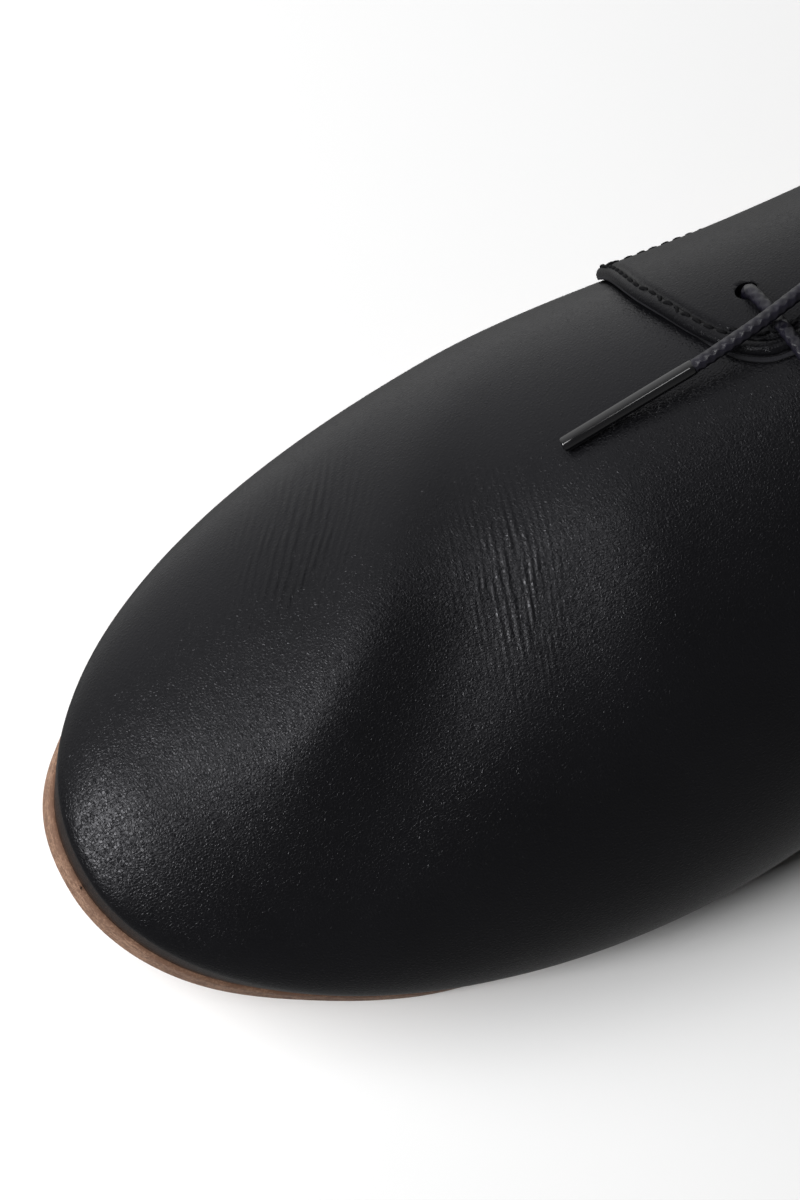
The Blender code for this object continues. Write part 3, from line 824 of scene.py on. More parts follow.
def gloss_plastic(name, colour):
    """Hard glossy film with faint long streaks."""
    nodes = Nodes(name)
    streak = nodes.noise(nodes.place(stretch=(0.2, 1.0, 1.0)), 1800.0, 2.0)
    nodes.shade(Base_Color=nodes.blend(streak, opaque(colour * 0.8), opaque(colour * 1.4)))
    nodes.shade(Roughness=nodes.ramp(streak, 0.3, 0.7, 0.08, 0.14), Specular_IOR_Level=0.22)
    nodes.shade(Normal=nodes.bump(streak, 0.00003, 0.4), Coat_Weight=0.6, Coat_Roughness=0.05)
    return nodes.material


def sewing_thread(name, colour):
    """Twisted black thread."""
    nodes = Nodes(name)
    fibre = nodes.noise(nodes.place(), 7000.0, 2.0)
    nodes.shade(Base_Color=nodes.blend(fibre, opaque(colour * 0.7), opaque(colour * 1.5)))
    nodes.shade(Roughness=nodes.ramp(fibre, 0.3, 0.7, 0.6, 0.75), Normal=nodes.bump(fibre, 0.00005))
    nodes.shade(Specular_IOR_Level=0.12)
    return nodes.material


def floor_paint(name, colour):
    """Even pale floor."""
    nodes = Nodes(name)
    cloud = nodes.noise(nodes.place(), 14.0, 2.0)
    nodes.shade(Base_Color=nodes.blend(cloud, opaque(colour * 0.99), opaque(colour * 1.01)))
    nodes.shade(Roughness=0.9, Specular_IOR_Level=0.1)
    return nodes.material


def skin(name):
    """Material by name, made the first time it is asked for."""
    found = bpy.data.materials.get(name)
    if found is not None:
        return found
    colours = bpy.context.scene.shoe_colours
    colour = {key: np.array(getattr(colours, key)) for key in colours.bl_rna.properties.keys()
              if key not in ("rna_type", "name")}
    makers = {
        "vamp_leather": lambda: grain_leather(name, colour["leather"], 0.22, wrinkled=True),
        "quarter_leather": lambda: grain_leather(name, colour["leather"], 0.15),
        "painted_edge": lambda: rough_leather(name, colour["cut_edge"], 2600.0, 0.00006, 0.50),
        "flesh_side": lambda: rough_leather(name, colour["flesh_side"], 3200.0, 0.00016),
        "lining_leather": lambda: rough_leather(name, colour["lining"], 1700.0, 0.00008),
        "sole_edge_leather": lambda: sole_leather(name, colour["sole_edge"], colour["sole_dark"]),
        "sole_suede": lambda: rough_leather(name, colour["sole_edge"] * 0.8, 2400.0, 0.00015),
        "waxed_braid": lambda: waxed_braid(name, colour["lace"]),
        "aglet_gloss": lambda: gloss_plastic(name, colour["aglet"]),
        "thread": lambda: sewing_thread(name, colour["thread"]),
        "studio_floor": lambda: floor_paint(name, colour["floor"]),
    }
    return makers[name]()


def leather_skins(outside):
    """Materials of a leather shell: outside, inside and cut edge."""
    return [skin(outside), skin("lining_leather"), skin("painted_edge")]


def facing_face(share):
    """Height of the quarter's outer face over the upper."""
    return GAP + QUARTER + EDGE_LIFT * ease(share, LIFT_START, LIFT_END)


def over_upper(share, offset, lift):
    """Point over the upper, at a distance from the ridge that is positive to the wearer's left."""
    step_ahead = 0.01
    step_beside = 0.002
    side = LATERAL if offset >= 0.0 else MEDIAL
    near = abs(offset)
    point = upper_points(side, share, turn_at_offset(side, share, near))
    ahead = upper_points(side, share + step_ahead, turn_at_offset(side, share + step_ahead, near))
    beside = upper_points(side, share, turn_at_offset(side, share, near + step_beside))
    normal = np.cross(ahead - point, beside - point)
    normal *= math.copysign(1.0, normal[2]) / np.linalg.norm(normal)
    return point + normal * lift


def eyelet_offset(share):
    """Distance of an eyelet from the ridge."""
    return facing_half(share) + EYELET_SETBACK


def route_frames(points):
    """Steady side and up directions along a run of points."""
    start_up = (0.13, 0.29, 0.95)
    ahead = unit(np.gradient(points, axis=0))
    side = np.cross(ahead[0], start_up)
    sides = []
    for direction in ahead:
        side = unit(side - direction * (side @ direction))
        sides.append(side)
    sides = np.array(sides)
    return sides, np.cross(ahead, sides)


def tube_faces(rings, count):
    """Quads between rings of points, and a cap on both ends."""
    faces = []
    for i in range(rings - 1):
        for k in range(count):
            n = (k + 1) % count
            faces.append([i * count + k, i * count + n, (i + 1) * count + n, (i + 1) * count + k])
    faces.append(list(range(count))[::-1])
    faces.append([(rings - 1) * count + k for k in range(count)])
    return faces


def braided_tube(name, route, diameter):
    """Round braid along a route, with raised strands that cross over each other."""
    strands = 4
    pitch = 0.0030
    around = 32
    relief = 0.00020
    dip = 0.45
    step = 0.00013
    points = smooth_route(route, step)
    sides, ups = route_frames(points)
    angle = ring_angles(around)[None, :]
    along = np.linspace(0.0, 1.0, len(points))[:, None]
    length = run_lengths(points)[-1]
    climb = 2.0 * np.pi * along * length / pitch * strands / 2.0
    left = np.cos(0.5 * (strands * angle + climb)) ** 2
    right = np.cos(0.5 * (strands * angle - climb)) ** 2
    over = 0.5 + 0.5 * np.sin(strands * angle) * np.sin(climb)
    height = np.maximum(left * (1.0 - dip * (1.0 - over)), right * (1.0 - dip * over))
    radius = 0.5 * diameter - relief * (1.0 - height)
    spokes = np.cos(angle)[..., None] * sides[:, None, :] + np.sin(angle)[..., None] * ups[:, None, :]
    rings = points[:, None, :] + radius[..., None] * spokes
    return add_piece(name, rings.reshape(-1, 3), tube_faces(len(points), around), [skin("waxed_braid")])


def lace_end_route():
    """Route of the free end: share of length, distance from the ridge, height over the upper."""
    top = EYELETS[-1]
    start = eyelet_offset(top)
    on_bar = 2.0 * GAP + 1.5 * LACE_DIAMETER
    return (
        (top - 0.002, -start, -0.0030),
        (top, -start, facing_face(top)),
        (top + 0.012, -start, facing_face(top) + 2.0 * GAP + 0.5 * LACE_DIAMETER),
        (top + 0.030, -start + 0.0035, facing_face(top) + on_bar - 0.0006),
        (EYELETS[1], -0.0118, facing_face(EYELETS[1]) + on_bar + 0.0003),
        (EYELETS[0], -0.0101, facing_face(EYELETS[0]) + on_bar + 0.0003),
        (0.598, -0.0103, 0.0056),
        (0.6225, -0.0110, 0.0042),
        (0.657, -0.0122, 0.0028),
        (0.692, -0.0132, 0.5 * AGLET_DIAMETER + GAP),
    )


def aglet_tube(name, start, end):
    """Glossy tube with a rolled rim, open at the tip over the cut lace."""
    radius = 0.5 * AGLET_DIAMETER
    around = 32
    length = np.linalg.norm(end - start)
    wall = 0.00022
    # Place along the tube, then radius: the rolled rim, the plain tube, the rounded tip and the hole in it
    profile = [(-0.0002, radius - 0.00016), (0.0, radius - 0.00004), (0.0004, radius)]
    profile += [(length * part, radius) for part in (0.1, 0.25, 0.4, 0.55, 0.7, 0.85)]
    profile += [(length - 0.0004, radius), (length - 0.0001, radius - 0.00004), (length, radius - 0.00012)]
    profile += [(length - 0.00003, radius - wall), (length - 0.0007, radius - wall - 0.00005)]
    ahead = (end - start) / length
    sides, ups = route_frames(np.array([start, lerp(start, end, 0.5), end]))
    angle = ring_angles(around)
    spokes = np.cos(angle)[:, None] * sides[0] + np.sin(angle)[:, None] * ups[0]
    rings = [start + ahead * along + spokes * reach for along, reach in profile]
    return add_piece(name, np.concatenate(rings), tube_faces(len(rings), around), [skin("aglet_gloss")])


def lace_bar_route(share):
    """Bar from eyelet to eyelet: out of one hole, over the facings and throat, into the other."""
    half = eyelet_offset(share)
    lift = facing_face(share) + GAP + 0.5 * LACE_DIAMETER
    # Distance from the ridge, then height over the upper, from inside the hole to on top of the facing
    down = [
        (half + 0.0006, -LACE_SINK),
        (half, 0.0012),
        (half - 0.0014, lift - 0.0003),
        (half - 0.0040, lift),
    ]
    over = [(offset, lift) for offset in np.linspace(half - 0.0075, 0.0, 4)]
    lateral = [over_upper(share, offset, height) for offset, height in down + over]
    medial = [over_upper(share, -offset, height) for offset, height in down + over[:-1]]
    return lateral + medial[::-1]


class SHOE_OT_stage(bpy.types.Operator):
    """Camera at the photograph's view, pale floor and soft studio light"""

    bl_idname = "shoe.stage"
    bl_label = "Stage"

    def execute(self, context):
        stage = context.scene.shoe_stage
        x, y, height = VIEW_CENTRE
        target = Vector((*from_millimetres(x, y), height * MM))
        self.add_camera(context, stage, target)
        self.add_floor(context)
        for power, name, direction, distance, size in LIGHTS:
            lamp = self.add_area(context, name, target, direction, distance, size, getattr(stage, power))
            lamp.visible_glossy = power != "fill"
        self.add_walls(context, stage)
        context.scene.view_settings.view_transform = "Standard"
        return {"FINISHED"}

    def add_camera(self, context, stage, target):
        """Camera with the photograph's angle, distance and roll."""
        level = math.cos(stage.elevation)
        back = Vector((math.sin(stage.azimuth) * level, -math.cos(stage.azimuth) * level,
                       math.sin(stage.elevation)))
        lens = bpy.data.cameras.new("photo_camera")
        lens.lens = stage.lens
        lens.sensor_width = 36.0
        lens.clip_start = 0.01
        lens.clip_end = 20.0
        camera = bpy.data.objects.new("photo_camera", lens)
        turn = (-back).to_track_quat("-Z", "Y").to_matrix() @ Matrix.Rotation(stage.roll, 3, "Z")
        camera.matrix_world = Matrix.Translation(target + back * stage.distance) @ turn.to_4x4()
        context.scene.collection.objects.link(camera)
        context.scene.camera = camera

    def add_floor(self, context):
        """Large pale floor just under the sole."""
        corners = [(x * FLOOR_HALF, y * FLOOR_HALF, 0.0) for x, y in ((-1, -1), (1, -1), (1, 1), (-1, 1))]
        mesh = bpy.data.meshes.new("floor")
        mesh.from_pydata(corners, [], [(0, 1, 2, 3)])
        mesh.materials.append(skin("studio_floor"))
        floor = bpy.data.objects.new("floor", mesh)
        context.scene.collection.objects.link(floor)
        floor.visible_glossy = False

    def add_walls(self, context, stage):
        """Light of the studio's walls: pale on the medial side, darker on the lateral one."""
        world = bpy.data.worlds.new("studio")
        world.use_nodes = True
        tree = world.node_tree
        toward = tree.nodes.new("ShaderNodeVectorMath")
        toward.operation = "DOT_PRODUCT"
        toward.inputs[1].default_value = WALL_AXIS
        tree.links.new(tree.nodes.new("ShaderNodeTexCoord").outputs["Generated"], toward.inputs[0])
        shift = tree.nodes.new("ShaderNodeMapRange")
        shift.inputs["From Min"].default_value = -1.0
        tree.links.new(toward.outputs["Value"], shift.inputs["Value"])
        ramp = tree.nodes.new("ShaderNodeValToRGB")
        ramp.color_ramp.interpolation = "EASE"
        for place, _ in WALLS[1:-1]:
            ramp.color_ramp.elements.new(place)
        for stop, (place, shade) in zip(ramp.color_ramp.elements, WALLS):
            stop.position = place
            stop.color = (shade, shade, shade, 1.0)
        tree.links.new(shift.outputs["Result"], ramp.inputs["Fac"])
        back = tree.nodes["Background"]
        tree.links.new(ramp.outputs["Color"], back.inputs["Color"])
        back.inputs["Strength"].default_value = stage.sky
        world.cycles_visibility.diffuse = False
        context.scene.world = world

    def add_area(self, context, name, target, direction, distance, size, power):
        """Flat light that faces the vamp."""
        lamp = bpy.data.lights.new(name, "AREA")
        lamp.shape = "RECTANGLE"
        lamp.size, lamp.size_y = size
        lamp.energy = power
        made = bpy.data.objects.new(name, lamp)
        toward = Vector(direction).normalized()
        turn = (-toward).to_track_quat("-Z", "Y").to_matrix().to_4x4()
        made.matrix_world = Matrix.Translation(target + toward * distance) @ turn
        context.scene.collection.objects.link(made)
        return made


class SHOE_OT_lace_end(bpy.types.Operator):
    """Free lace end with its aglet, from the top medial eyelet forward onto the vamp"""

    bl_idname = "shoe.lace_end"
    bl_label = "Lace end"

    def execute(self, context):
        route = [over_upper(*row) for row in lace_end_route()]
        step = 0.0005
        skipped = 6
        points = smooth_route(route, step)
        lengths = run_lengths(points)
        cut = int(np.argmax(lengths[-1] - lengths < AGLET_LENGTH))
        cord = points[:cut + 1]
        made = braided_tube("lace_end_braid", cord[::skipped].tolist() + [cord[-1]], LACE_DIAMETER)
        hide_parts("lace_end")
        aglet = aglet_tube("lace_aglet", points[cut - 1], points[-1])
        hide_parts("aglet")
        tuple(route[1])
        return {"FINISHED"}


class SHOE_OT_lace_bars(bpy.types.Operator):
    """Lace bars over the throat, through the eyelets, and the end that stops in the top lateral one"""

    bl_idname = "shoe.lace_bars"
    bl_label = "Lace bars"

    def execute(self, context):
        for number, share in enumerate(EYELETS[:2], 1):
            node = "lace_bar_%d" % number
            made = braided_tube(node + "_braid", lace_bar_route(share), LACE_DIAMETER)
            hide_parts(node)
        top = EYELETS[-1]
        heights = np.linspace(-LACE_SINK, facing_face(top) + GAP, 4)
        stop = [over_upper(top, eyelet_offset(top), height) for height in heights]
        braided_tube("lace_hidden_end_braid", stop, LACE_DIAMETER)
        return {"FINISHED"}


def upper_shares():
    """Shares of the length where the vamp's and upper's sections stand, close together at the flex."""
    heel = heel_shares(16)
    waist = np.linspace(SEAT_START, FACING_TOP, 30, endpoint=False)
    round_start = THROAT_FRONT - THROAT_ROUND / LENGTH
    facing = np.linspace(FACING_TOP, round_start, 22, endpoint=False)
    corner = THROAT_FRONT - THROAT_ROUND / LENGTH * (1.0 - np.arange(8) / 8) ** 2
    vamp = np.linspace(THROAT_FRONT, FAN_START, 36, endpoint=False)
    return np.concatenate([heel, waist, facing, corner, vamp, toe_shares(96)])


def upper_grid(side):
    """Points of the upper's outside, section by section."""
    share = upper_shares()[:, None]
    rise = np.concatenate([[-1.0, -0.75, -0.5, -0.25], np.linspace(0.0, 1.0, 72)])[None, :]
    low = rise * (1.0 - GAP / WIDEST(share))
    turn = np.where(rise < 0.0, low, rise * last_turn(side, share))
    return upper_points(side, share, turn)


def fold_heights(places, tree):
    """How far each place of the vamp is raised or sunk by the listed folds."""
    height = np.zeros(len(places))
    for start, middle, end, half, lift in FOLDS:
        spots = [drop_on(tree, *spot) for spot in (start, middle, end)]
        line = smooth_route(spots, 0.002)
        far, along = distance_to_line(places, line)
        ends = np.clip(np.sin(np.pi * np.clip(0.08 + 0.84 * along, 0.0, 1.0)), 0.0, 1.0)
        height += lift * MM * ends * np.exp(-(far / (half * MM)) ** 2)
    return height


def punch_eyelets(made):
    """Cut the round eyelet holes through a piece."""
    sizes = bpy.context.scene.shoe_sizes
    holes = bmesh.new()
    for share in EYELETS:
        for side in (MEDIAL, LATERAL):
            offset = side * eyelet_offset(share)
            low = Vector(over_upper(share, offset, PUNCH_LOW))
            high = Vector(over_upper(share, offset, PUNCH_HIGH))
            turn = (high - low).to_track_quat("Z", "Y").to_matrix().to_4x4()
            matrix = Matrix.Translation(low.lerp(high, 0.5)) @ turn
            bmesh.ops.create_cone(holes, cap_ends=True, segments=28, radius1=0.5 * sizes.eyelet,
                                  radius2=0.5 * sizes.eyelet, depth=(high - low).length, matrix=matrix)
    mesh = bpy.data.meshes.new("eyelet_punches")
    holes.to_mesh(mesh)
    holes.free()
    punch = bpy.data.objects.new("eyelet_punches", mesh)
    bpy.context.scene.collection.objects.link(punch)
    cut = made.modifiers.new("eyelets", "BOOLEAN")
    cut.operation = "DIFFERENCE"
    cut.solver = "EXACT"
    cut.object = punch
    graph = bpy.context.evaluated_depsgraph_get()
    result = bpy.data.meshes.new_from_object(made.evaluated_get(graph))
    made.modifiers.clear()
    made.data = result
    bpy.data.objects.remove(punch, do_unlink=True)


class SHOE_OT_upper(bpy.types.Operator):
    """Upper of vamp leather and lining, with the folds of the vamp"""

    bl_idname = "shoe.upper"
    bl_label = "Upper"

    def execute(self, context):
        sheet = grid_mesh([upper_grid(MEDIAL), upper_grid(LATERAL)])
        tree = BVHTree.FromBMesh(sheet)
        places, normals = sheet_arrays(sheet)
        outer = places + normals * fold_heights(places, tree)[:, None]
        low = places[:, 2] < feather((places[:, 0] - HEEL_BACK) / LENGTH) + LEVEL_WALL
        level = normals * np.where(low[:, None], (1.0, 1.0, 0.0), (1.0, 1.0, 1.0))
        inner = outer - unit(level) * WALL
        made = shell("upper_leather", sheet, outer, inner, leather_skins("vamp_leather"))
        sheet.free()
        punch_eyelets(made)
        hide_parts("upper")
        return {"FINISHED"}


def front_edge(rise):
    """Share of the length of the quarter's front edge, with a rounded corner at each end."""
    top = np.clip((rise - FACING_CORNER_START) / (1.0 - FACING_CORNER_START), 0.0, 1.0)
    low = np.clip((TAB_CORNER_END - rise) / TAB_CORNER_END, 0.0, 1.0)
    drop = FACING_CORNER * (1.0 - np.sqrt(1.0 - top ** 2)) + TAB_CORNER * (1.0 - np.sqrt(1.0 - low ** 2))
    return EDGE_SHARE(rise) - drop / LENGTH


def quarter_points(side, share, rise, lip=FACING_LIP):
    """Points of the quarter on the upper's outside; rise runs from its lower edge to its upper one."""
    throat_end = THROAT_FRONT - THROAT_ROUND / LENGTH
    top = last_turn(side, np.minimum(share, throat_end), -lip)
    bottom = turn_at_height(share, feather(share) + GAP + EDGE_HEIGHT(share))
    return upper_points(side, share, bottom + (top - bottom) * rise)


def quarter_grid(side):
    """Points of the quarter, from its front edge to the back seam, close together at the edges."""
    columns = 150
    rows = 72
    rise = spread(0.0, 1.0, rows, 0.75)[None, :]
    part = np.linspace(0.0, 1.0, columns)[:, None] ** 1.7
    return quarter_points(side, lerp(front_edge(rise), BACK_SEAM, part), rise)


def quarter_border(side):
    """Edge of the quarter from the sole, forward round the tab and facing corner, back along the collar."""
    shares = np.linspace(LOWER_EDGE_START, float(front_edge(np.array(0.0))), 120, endpoint=False)
    lower = quarter_points(side, shares, 0.0)
    rises = spread(0.0, 1.0, 160, 0.6)[:-1]
    front = quarter_points(side, front_edge(rises), rises)
    back = np.linspace(float(front_edge(np.array(1.0))), BACK_SEAM, 420)
    upper = quarter_points(side, back, 1.0)
    return np.concatenate([lower, front, upper])


class SHOE_OT_quarters(bpy.types.Operator):
    """Quarters with rounded edges, a sunk seam and punched eyelets"""

    bl_idname = "shoe.quarters"
    bl_label = "Quarters"

    def execute(self, context):
        for side in (MEDIAL, LATERAL):
            self.add_quarter(context, side)
        return {"FINISHED"}

    def add_quarter(self, context, side):
        """One quarter."""
        sizes = context.scene.shoe_sizes
        sheet = grid_mesh([quarter_grid(side)])
        places, normals = sheet_arrays(sheet)
        share = (places[:, 0] - HEEL_BACK) / LENGTH
        edge, _ = distance_to_line(places, quarter_border(side))
        high = ease(places[:, 2], LIFT_LOW, LIFT_HIGH)
        lift = GAP + EDGE_LIFT * ease(share, LIFT_START, LIFT_END) * high
        seam = SEAM_DEPTH * np.exp(-((edge - sizes.stitch_setback) / SEAM_HALF) ** 2)
        pad = PAD_HEIGHT * np.exp(-((edge - 0.5 * sizes.stitch_setback) / PAD_HALF) ** 2)
        thick = QUARTER * (1.0 - EDGE_DROP * rounding(edge, sizes.edge_round)) - seam + pad
        outer = places + normals * (lift + thick)[:, None]
        inner = places + normals * lift[:, None]
        name = "quarter_%s" % SIDE_NAMES[side]
        made = shell(name + "_leather", sheet, outer, inner, leather_skins("quarter_leather"))
        sheet.free()
        punch_eyelets(made)
        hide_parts(name)


class SHOE_OT_facing_linings(bpy.types.Operator):
    """Rough linings that show a little past the facings' edges"""

    bl_idname = "shoe.facing_linings"
    bl_label = "Facing linings"

    def execute(self, context):
        for side in (MEDIAL, LATERAL):
            rise = np.linspace(LINING_START, 1.0, 60)[None, :]
            peep = LINING_PEEP * ease(rise, PEEP_START, PEEP_END) - LINING_SETBACK
            part = np.linspace(0.0, 1.0, 70)[:, None]
            share = lerp(front_edge(rise) + peep / LENGTH, FACING_TOP + LINING_TOP, part)
            points = quarter_points(side, share, rise, lip=FACING_LIP + LINING_LIP)
            sheet = grid_mesh([points])
            places, normals = sheet_arrays(sheet)
            outer = places + normals * (GAP + LINING_OUTSIDE)
            inner = places + normals * LINING_INSIDE
            name = "facing_lining_%s" % SIDE_NAMES[side]
            made = shell(name, sheet, outer, inner, [skin("flesh_side")] * 3)
            sheet.free()
            punch_eyelets(made)
        return {"FINISHED"}


class SHOE_OT_stitches(bpy.types.Operator):
    """Rows of stitches behind the quarters' edges"""

    bl_idname = "shoe.stitches"
    bl_label = "Stitches"

    def execute(self, context):
        sizes = context.scene.shoe_sizes
        for side in (MEDIAL, LATERAL):
            name = SIDE_NAMES[side]
            leather = bpy.data.objects["quarter_%s_leather" % name]
            tree = BVHTree.FromObject(leather, context.evaluated_depsgraph_get())
            step = 0.0005
            border = smooth_route(quarter_border(side)[::3], step)
            seam = self.seam_line(border, tree, side, sizes.stitch_setback)
            made = self.add_row("stitches_" + name, seam, sizes)
        return {"FINISHED"}

    def seam_line(self, border, tree, side, setback):
        """Places and normals on the leather, set back from its border."""
        from_outside = Vector((0.0, side * 0.004, 0.004))
        from_above = 0.003
        seam = []
        for point, way in zip(border, unit(np.gradient(border, axis=0))):
            _, normal, _, _ = tree.find_nearest(Vector(point) + from_outside)
            inward = np.cross(np.array(normal), way) * -side
            spot, face, _, _ = tree.find_nearest(Vector(point + inward * setback) + normal * from_above)
            seam.append((np.array(spot), np.array(face)))
        return seam

    def add_row(self, name, seam, sizes):
        """Joined mesh of short stitches along a seam."""
        spots = np.array([spot for spot, _ in seam])
        normals = np.array([normal for _, normal in seam])
        lengths = run_lengths(spots)
        points = []
        faces = []
        around = 8
        filled = 0.88
        step_ahead = 0.0004
        stations = (0.0, 0.06, 0.2, 0.5, 0.8, 0.94, 1.0)
        swell = (0.25, 0.62, 0.92, 1.0, 0.92, 0.62, 0.25)
        sink = (-0.9, -0.45, 0.05, 0.28, 0.05, -0.45, -0.9)
        radius = 0.5 * sizes.thread
        for number in range(1, int(lengths[-1] / sizes.stitch_pitch) - 1):
            start = number * sizes.stitch_pitch
            base = len(points)
            for station, thick, rise in zip(stations, swell, sink):
                where = start + station * filled * sizes.stitch_pitch
                spot = along_run(where, lengths, spots)
                up = unit(along_run(where, lengths, normals))
                ahead = along_run(where + step_ahead, lengths, spots) - spot
                beside = unit(np.cross(up, ahead))
                middle = spot + up * radius * rise
                for turn in ring_angles(around):
                    points.append(middle + (beside * math.cos(turn) + up * math.sin(turn)) * radius * thick)
            faces += [[base + i for i in loop] for loop in tube_faces(len(stations), around)]
        return add_piece(name, points, faces, [skin("thread")])


class SHOE_OT_tongue(bpy.types.Operator):
    """Tongue under the facings"""

    bl_idname = "shoe.tongue"
    bl_label = "Tongue"

    def execute(self, context):
        part = np.linspace(0.0, 1.0, 90)[:, None]
        share = lerp(TONGUE_FRONT, TONGUE_TOP, part)
        taper = np.clip((part - TONGUE_TAPER_START) / (1.0 - TONGUE_TAPER_START), 0.0, 1.0) ** 2
        half = lerp(TONGUE_HALF_FRONT, TONGUE_HALF_TOP, part) - TONGUE_TAPER * taper
        grids = []
        for side in (MEDIAL, LATERAL):
            offset = half * spread(0.0, 1.0, 30, 0.3)[None, :]
            grids.append(upper_points(side, share, turn_at_offset(side, share, offset)))
        sheet = grid_mesh(grids)
        places, normals = sheet_arrays(sheet)
        rim = np.array([vert.co for vert in sheet.verts if vert.is_boundary])
        edge = np.array([np.linalg.norm(rim - place, axis=1).min() for place in places])
        drop = rounding(edge, TONGUE_ROUND)
        depth = WALL + 2.0 * GAP
        outer = places - normals * (depth + TONGUE_OUTER_DROP * drop)[:, None]
        inner = places - normals * (depth + TONGUE - TONGUE_INNER_DROP * drop)[:, None]
        made = shell("tongue_leather", sheet, outer, inner, leather_skins("quarter_leather"))
        sheet.free()
        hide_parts("tongue")
        return {"FINISHED"}


def outline(shares, inset):
    """Closed plan outline: medial side forward, lateral side back; inset is a rule for each side."""
    runs = []
    for side in (MEDIAL, LATERAL):
        outer, inner = section_ends(side, shares)
        reach = np.linalg.norm(outer - inner, axis=-1)
        run = inner + (outer - inner) * (1.0 - inset(side, shares) / reach)[:, None]
        runs.append(run if side == MEDIAL else run[::-1])
    return np.concatenate(runs)


def outward(loop):
    """Outward directions of a closed plan outline that runs clockwise seen from above."""
    step = np.roll(loop, -1, axis=0) - np.roll(loop, 1, axis=0)
    out = unit(np.stack([step[:, 1], -step[:, 0]], -1))
    middle = loop.mean(axis=0)
    if ((loop - middle) * out).sum() < 0.0:
        out = -out
    return out


def plate(name, loop, profile, place, materials, kinds):
    """Closed plate: rings of an outline, each with an inset and a depth, and a cap over both ends.

    place turns plan points and a depth into points of the shared frame. kinds gives the material of the
    upper cap, the rim and the lower cap.
    """
    strips = 8
    weld = 0.000004
    out = outward(loop)
    count = len(loop)
    half = count // 2
    points = [place(loop - out * inset, depth) for inset, depth in profile]
    depths = [np.full(count, depth) for _, depth in profile]
    faces = []
    marks = []
    for i in range(len(profile) - 1):
        for k in range(count):
            n = (k + 1) % count
            faces.append([i * count + k, (i + 1) * count + k, (i + 1) * count + n, i * count + n])
            marks.append(kinds[1])
    total = len(profile) * count
    for end, kind in ((0, kinds[0]), (len(profile) - 1, kinds[2])):
        inset, depth = profile[end]
        ring = loop - out * inset
        medial = ring[:half]
        lateral = ring[half:][::-1]
        columns = [end * count + np.arange(half)]
        for strip in range(1, strips):
            points.append(place(lerp(medial, lateral, strip / strips), depth))
            depths.append(np.full(half, depth))
            columns.append(total + np.arange(half))
            total += half
        columns.append(end * count + (count - 1 - np.arange(half)))
        for a, b in zip(columns, columns[1:]):
            for k in range(half - 1):
                loop_face = [a[k], a[k + 1], b[k + 1], b[k]]
                faces.append(loop_face if end else loop_face[::-1])
                marks.append(kind)
    made = add_piece(name, np.concatenate(points), faces, materials, marks)
    attribute = made.data.attributes.new("edge_depth", "FLOAT", "POINT")
    deepest = profile[-1][1]
    attribute.data.foreach_set("value", (np.concatenate(depths) / deepest).astype(np.float32))
    fix = bmesh.new()
    fix.from_mesh(made.data)
    bmesh.ops.remove_doubles(fix, verts=fix.verts, dist=weld)
    bmesh.ops.recalc_face_normals(fix, faces=fix.faces)
    fix.to_mesh(made.data)
    fix.free()
    return made


def round_profile(thickness, radius, steps=5):
    """Insets and depths of a rim with rounded upper and lower edges."""
    angles = 0.5 * np.pi * np.arange(steps + 1) / steps
    upper = [(radius * (1.0 - math.sin(a)), radius * (1.0 - math.cos(a))) for a in angles]
    lower = [(inset, thickness - depth) for inset, depth in upper[::-1]]
    between = [(0.0, part * thickness) for part in (0.35, 0.65)]
    return upper + between + lower


def on_sole(plan, depth):
    """Points a depth under the sole's upper side, square to it."""
    share = plan[:, 0] / LENGTH
    step = 0.002
    slope = (feather(share + step) - feather(share - step)) / (2.0 * step * LENGTH)
    fall = depth / np.sqrt(1.0 + slope ** 2)
    moved = plan + np.stack([slope * fall, np.zeros(len(plan))], -1)
    return in_frame(moved, feather(share) - fall)


def sole_shares(end=1.0):
    """Shares of the length along a sole's outline, close together at heel and toe."""
    heel = heel_shares(30)
    if end < 1.0:
        return np.concatenate([heel, np.linspace(SEAT_START, end, 30)])
    waist = np.linspace(SEAT_START, FAN_START, 80, endpoint=False)
    return np.concatenate([heel, waist, toe_shares(90)])


def sole_inset(side, share):
    """How far the sole's edge lies inside the widest line."""
    return TUCK[side](share) - SOLE_LEDGE


class SHOE_OT_outsole(bpy.types.Operator):
    """Leather outsole with a trimmed tan edge"""

    bl_idname = "shoe.outsole"
    bl_label = "Outsole"

    def execute(self, context):
        loop = outline(sole_shares(), sole_inset)
        skins = [skin("sole_edge_leather"), skin("sole_suede")]
        profile = round_profile(SOLE_THICKNESS, SOLE_ROUND)
        made = plate("outsole_leather", loop, profile, on_sole, skins, (0, 0, 1))
        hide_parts("outsole")
        return {"FINISHED"}


class SHOE_OT_heel(bpy.types.Operator):
    """Plain low heel"""

    bl_idname = "shoe.heel"
    bl_label = "Heel"

    def execute(self, context):
        loop = outline(sole_shares(HEEL_BREAST), sole_inset)
        tall = HEEL_HEIGHT - GAP
        rim = round_profile(tall, HEEL_ROUND)
        profile = [(inset + HEEL_PITCH * depth / tall, depth) for inset, depth in rim]

        def under_sole(plan, depth):
            return in_frame(plan, np.full(len(plan), tall - depth))

        skins = [skin("sole_edge_leather"), skin("sole_suede")]
        made = plate("heel_leather", loop, profile, under_sole, skins, (0, 0, 1))
        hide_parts("heel")
        return {"FINISHED"}


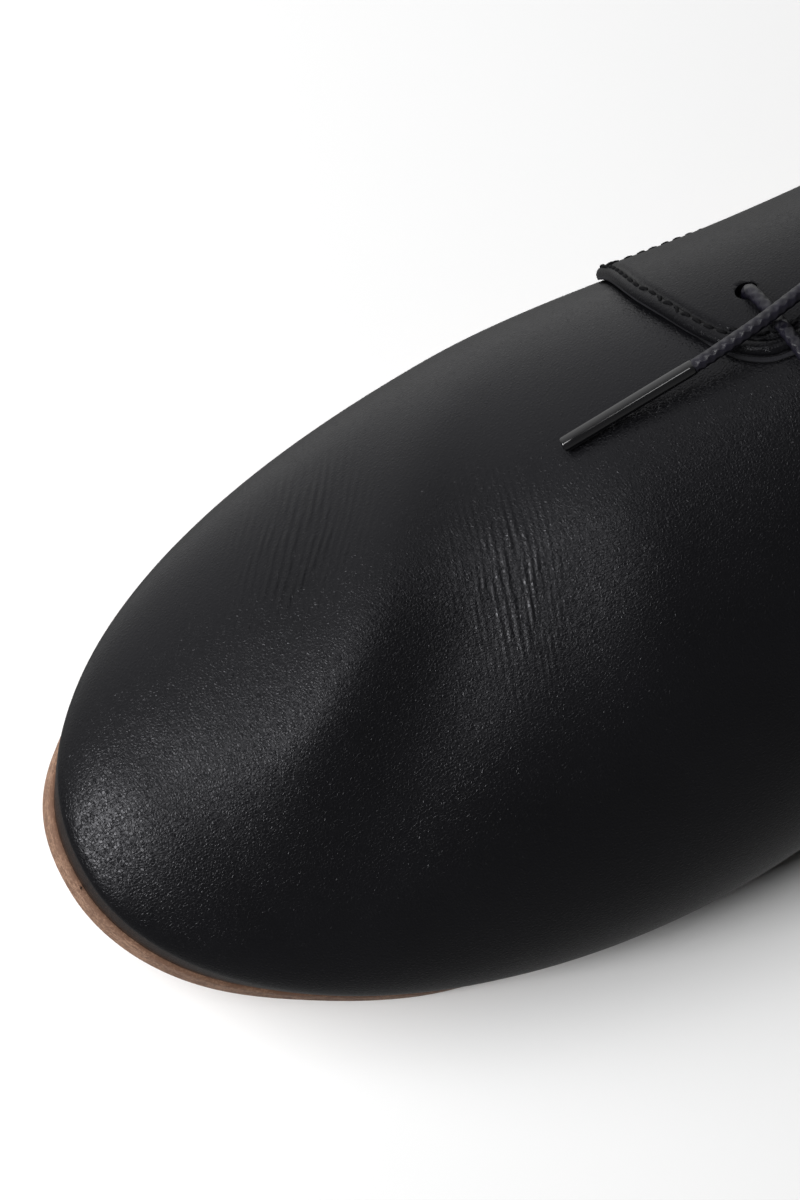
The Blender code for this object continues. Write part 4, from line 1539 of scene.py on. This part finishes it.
class SHOE_OT_insole(bpy.types.Operator):
    """Insole inside the upper"""

    bl_idname = "shoe.insole"
    bl_label = "Insole"

    def execute(self, context):
        inset = WALL + 2.0 * GAP
        loop = outline(sole_shares(), lambda side, share: TUCK[side](share) + inset)

        def in_upper(plan, depth):
            return in_frame(plan, feather(plan[:, 0] / LENGTH) + GAP + INSOLE - depth)

        profile = round_profile(INSOLE, INSOLE_ROUND)
        made = plate("insole_leather", loop, profile, in_upper, [skin("lining_leather")], (0, 0, 0))
        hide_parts("insole")
        return {"FINISHED"}


OPERATORS = (
    SHOE_OT_stage,
    SHOE_OT_lace_end,
    SHOE_OT_lace_bars,
    SHOE_OT_upper,
    SHOE_OT_quarters,
    SHOE_OT_facing_linings,
    SHOE_OT_stitches,
    SHOE_OT_tongue,
    SHOE_OT_outsole,
    SHOE_OT_heel,
    SHOE_OT_insole,
)


class SHOE_PT_pieces(bpy.types.Panel):
    """Buttons for the shoe's pieces"""

    bl_idname = "SHOE_PT_pieces"
    bl_label = "Derby Dance Shoe"
    bl_space_type = "VIEW_3D"
    bl_region_type = "UI"
    bl_category = "Shoe"

    def draw(self, context):
        for operator in OPERATORS:
            self.layout.operator(operator.bl_idname)


GROUPS = {"shoe_colours": ShoeColours, "shoe_sizes": ShoeSizes, "shoe_stage": ShoeStage}


def register():
    """Register the groups, operators and panel."""
    for name, group in GROUPS.items():
        bpy.utils.register_class(group)
        setattr(bpy.types.Scene, name, bpy.props.PointerProperty(type=group))
    for made in (*OPERATORS, SHOE_PT_pieces):
        bpy.utils.register_class(made)


def unregister():
    """Remove what register added."""
    for made in (SHOE_PT_pieces, *reversed(OPERATORS)):
        bpy.utils.unregister_class(made)
    for name, group in GROUPS.items():
        delattr(bpy.types.Scene, name)
        bpy.utils.unregister_class(group)


def main():
    register()
    bpy.ops.shoe.stage()
    bpy.ops.shoe.lace_end()
    bpy.ops.shoe.lace_bars()
    bpy.ops.shoe.upper()
    bpy.ops.shoe.quarters()
    bpy.ops.shoe.facing_linings()
    bpy.ops.shoe.stitches()
    bpy.ops.shoe.tongue()
    bpy.ops.shoe.outsole()
    bpy.ops.shoe.heel()
    bpy.ops.shoe.insole()
    bpy.context.view_layer.update()


if __name__ == "__main__":
    main()
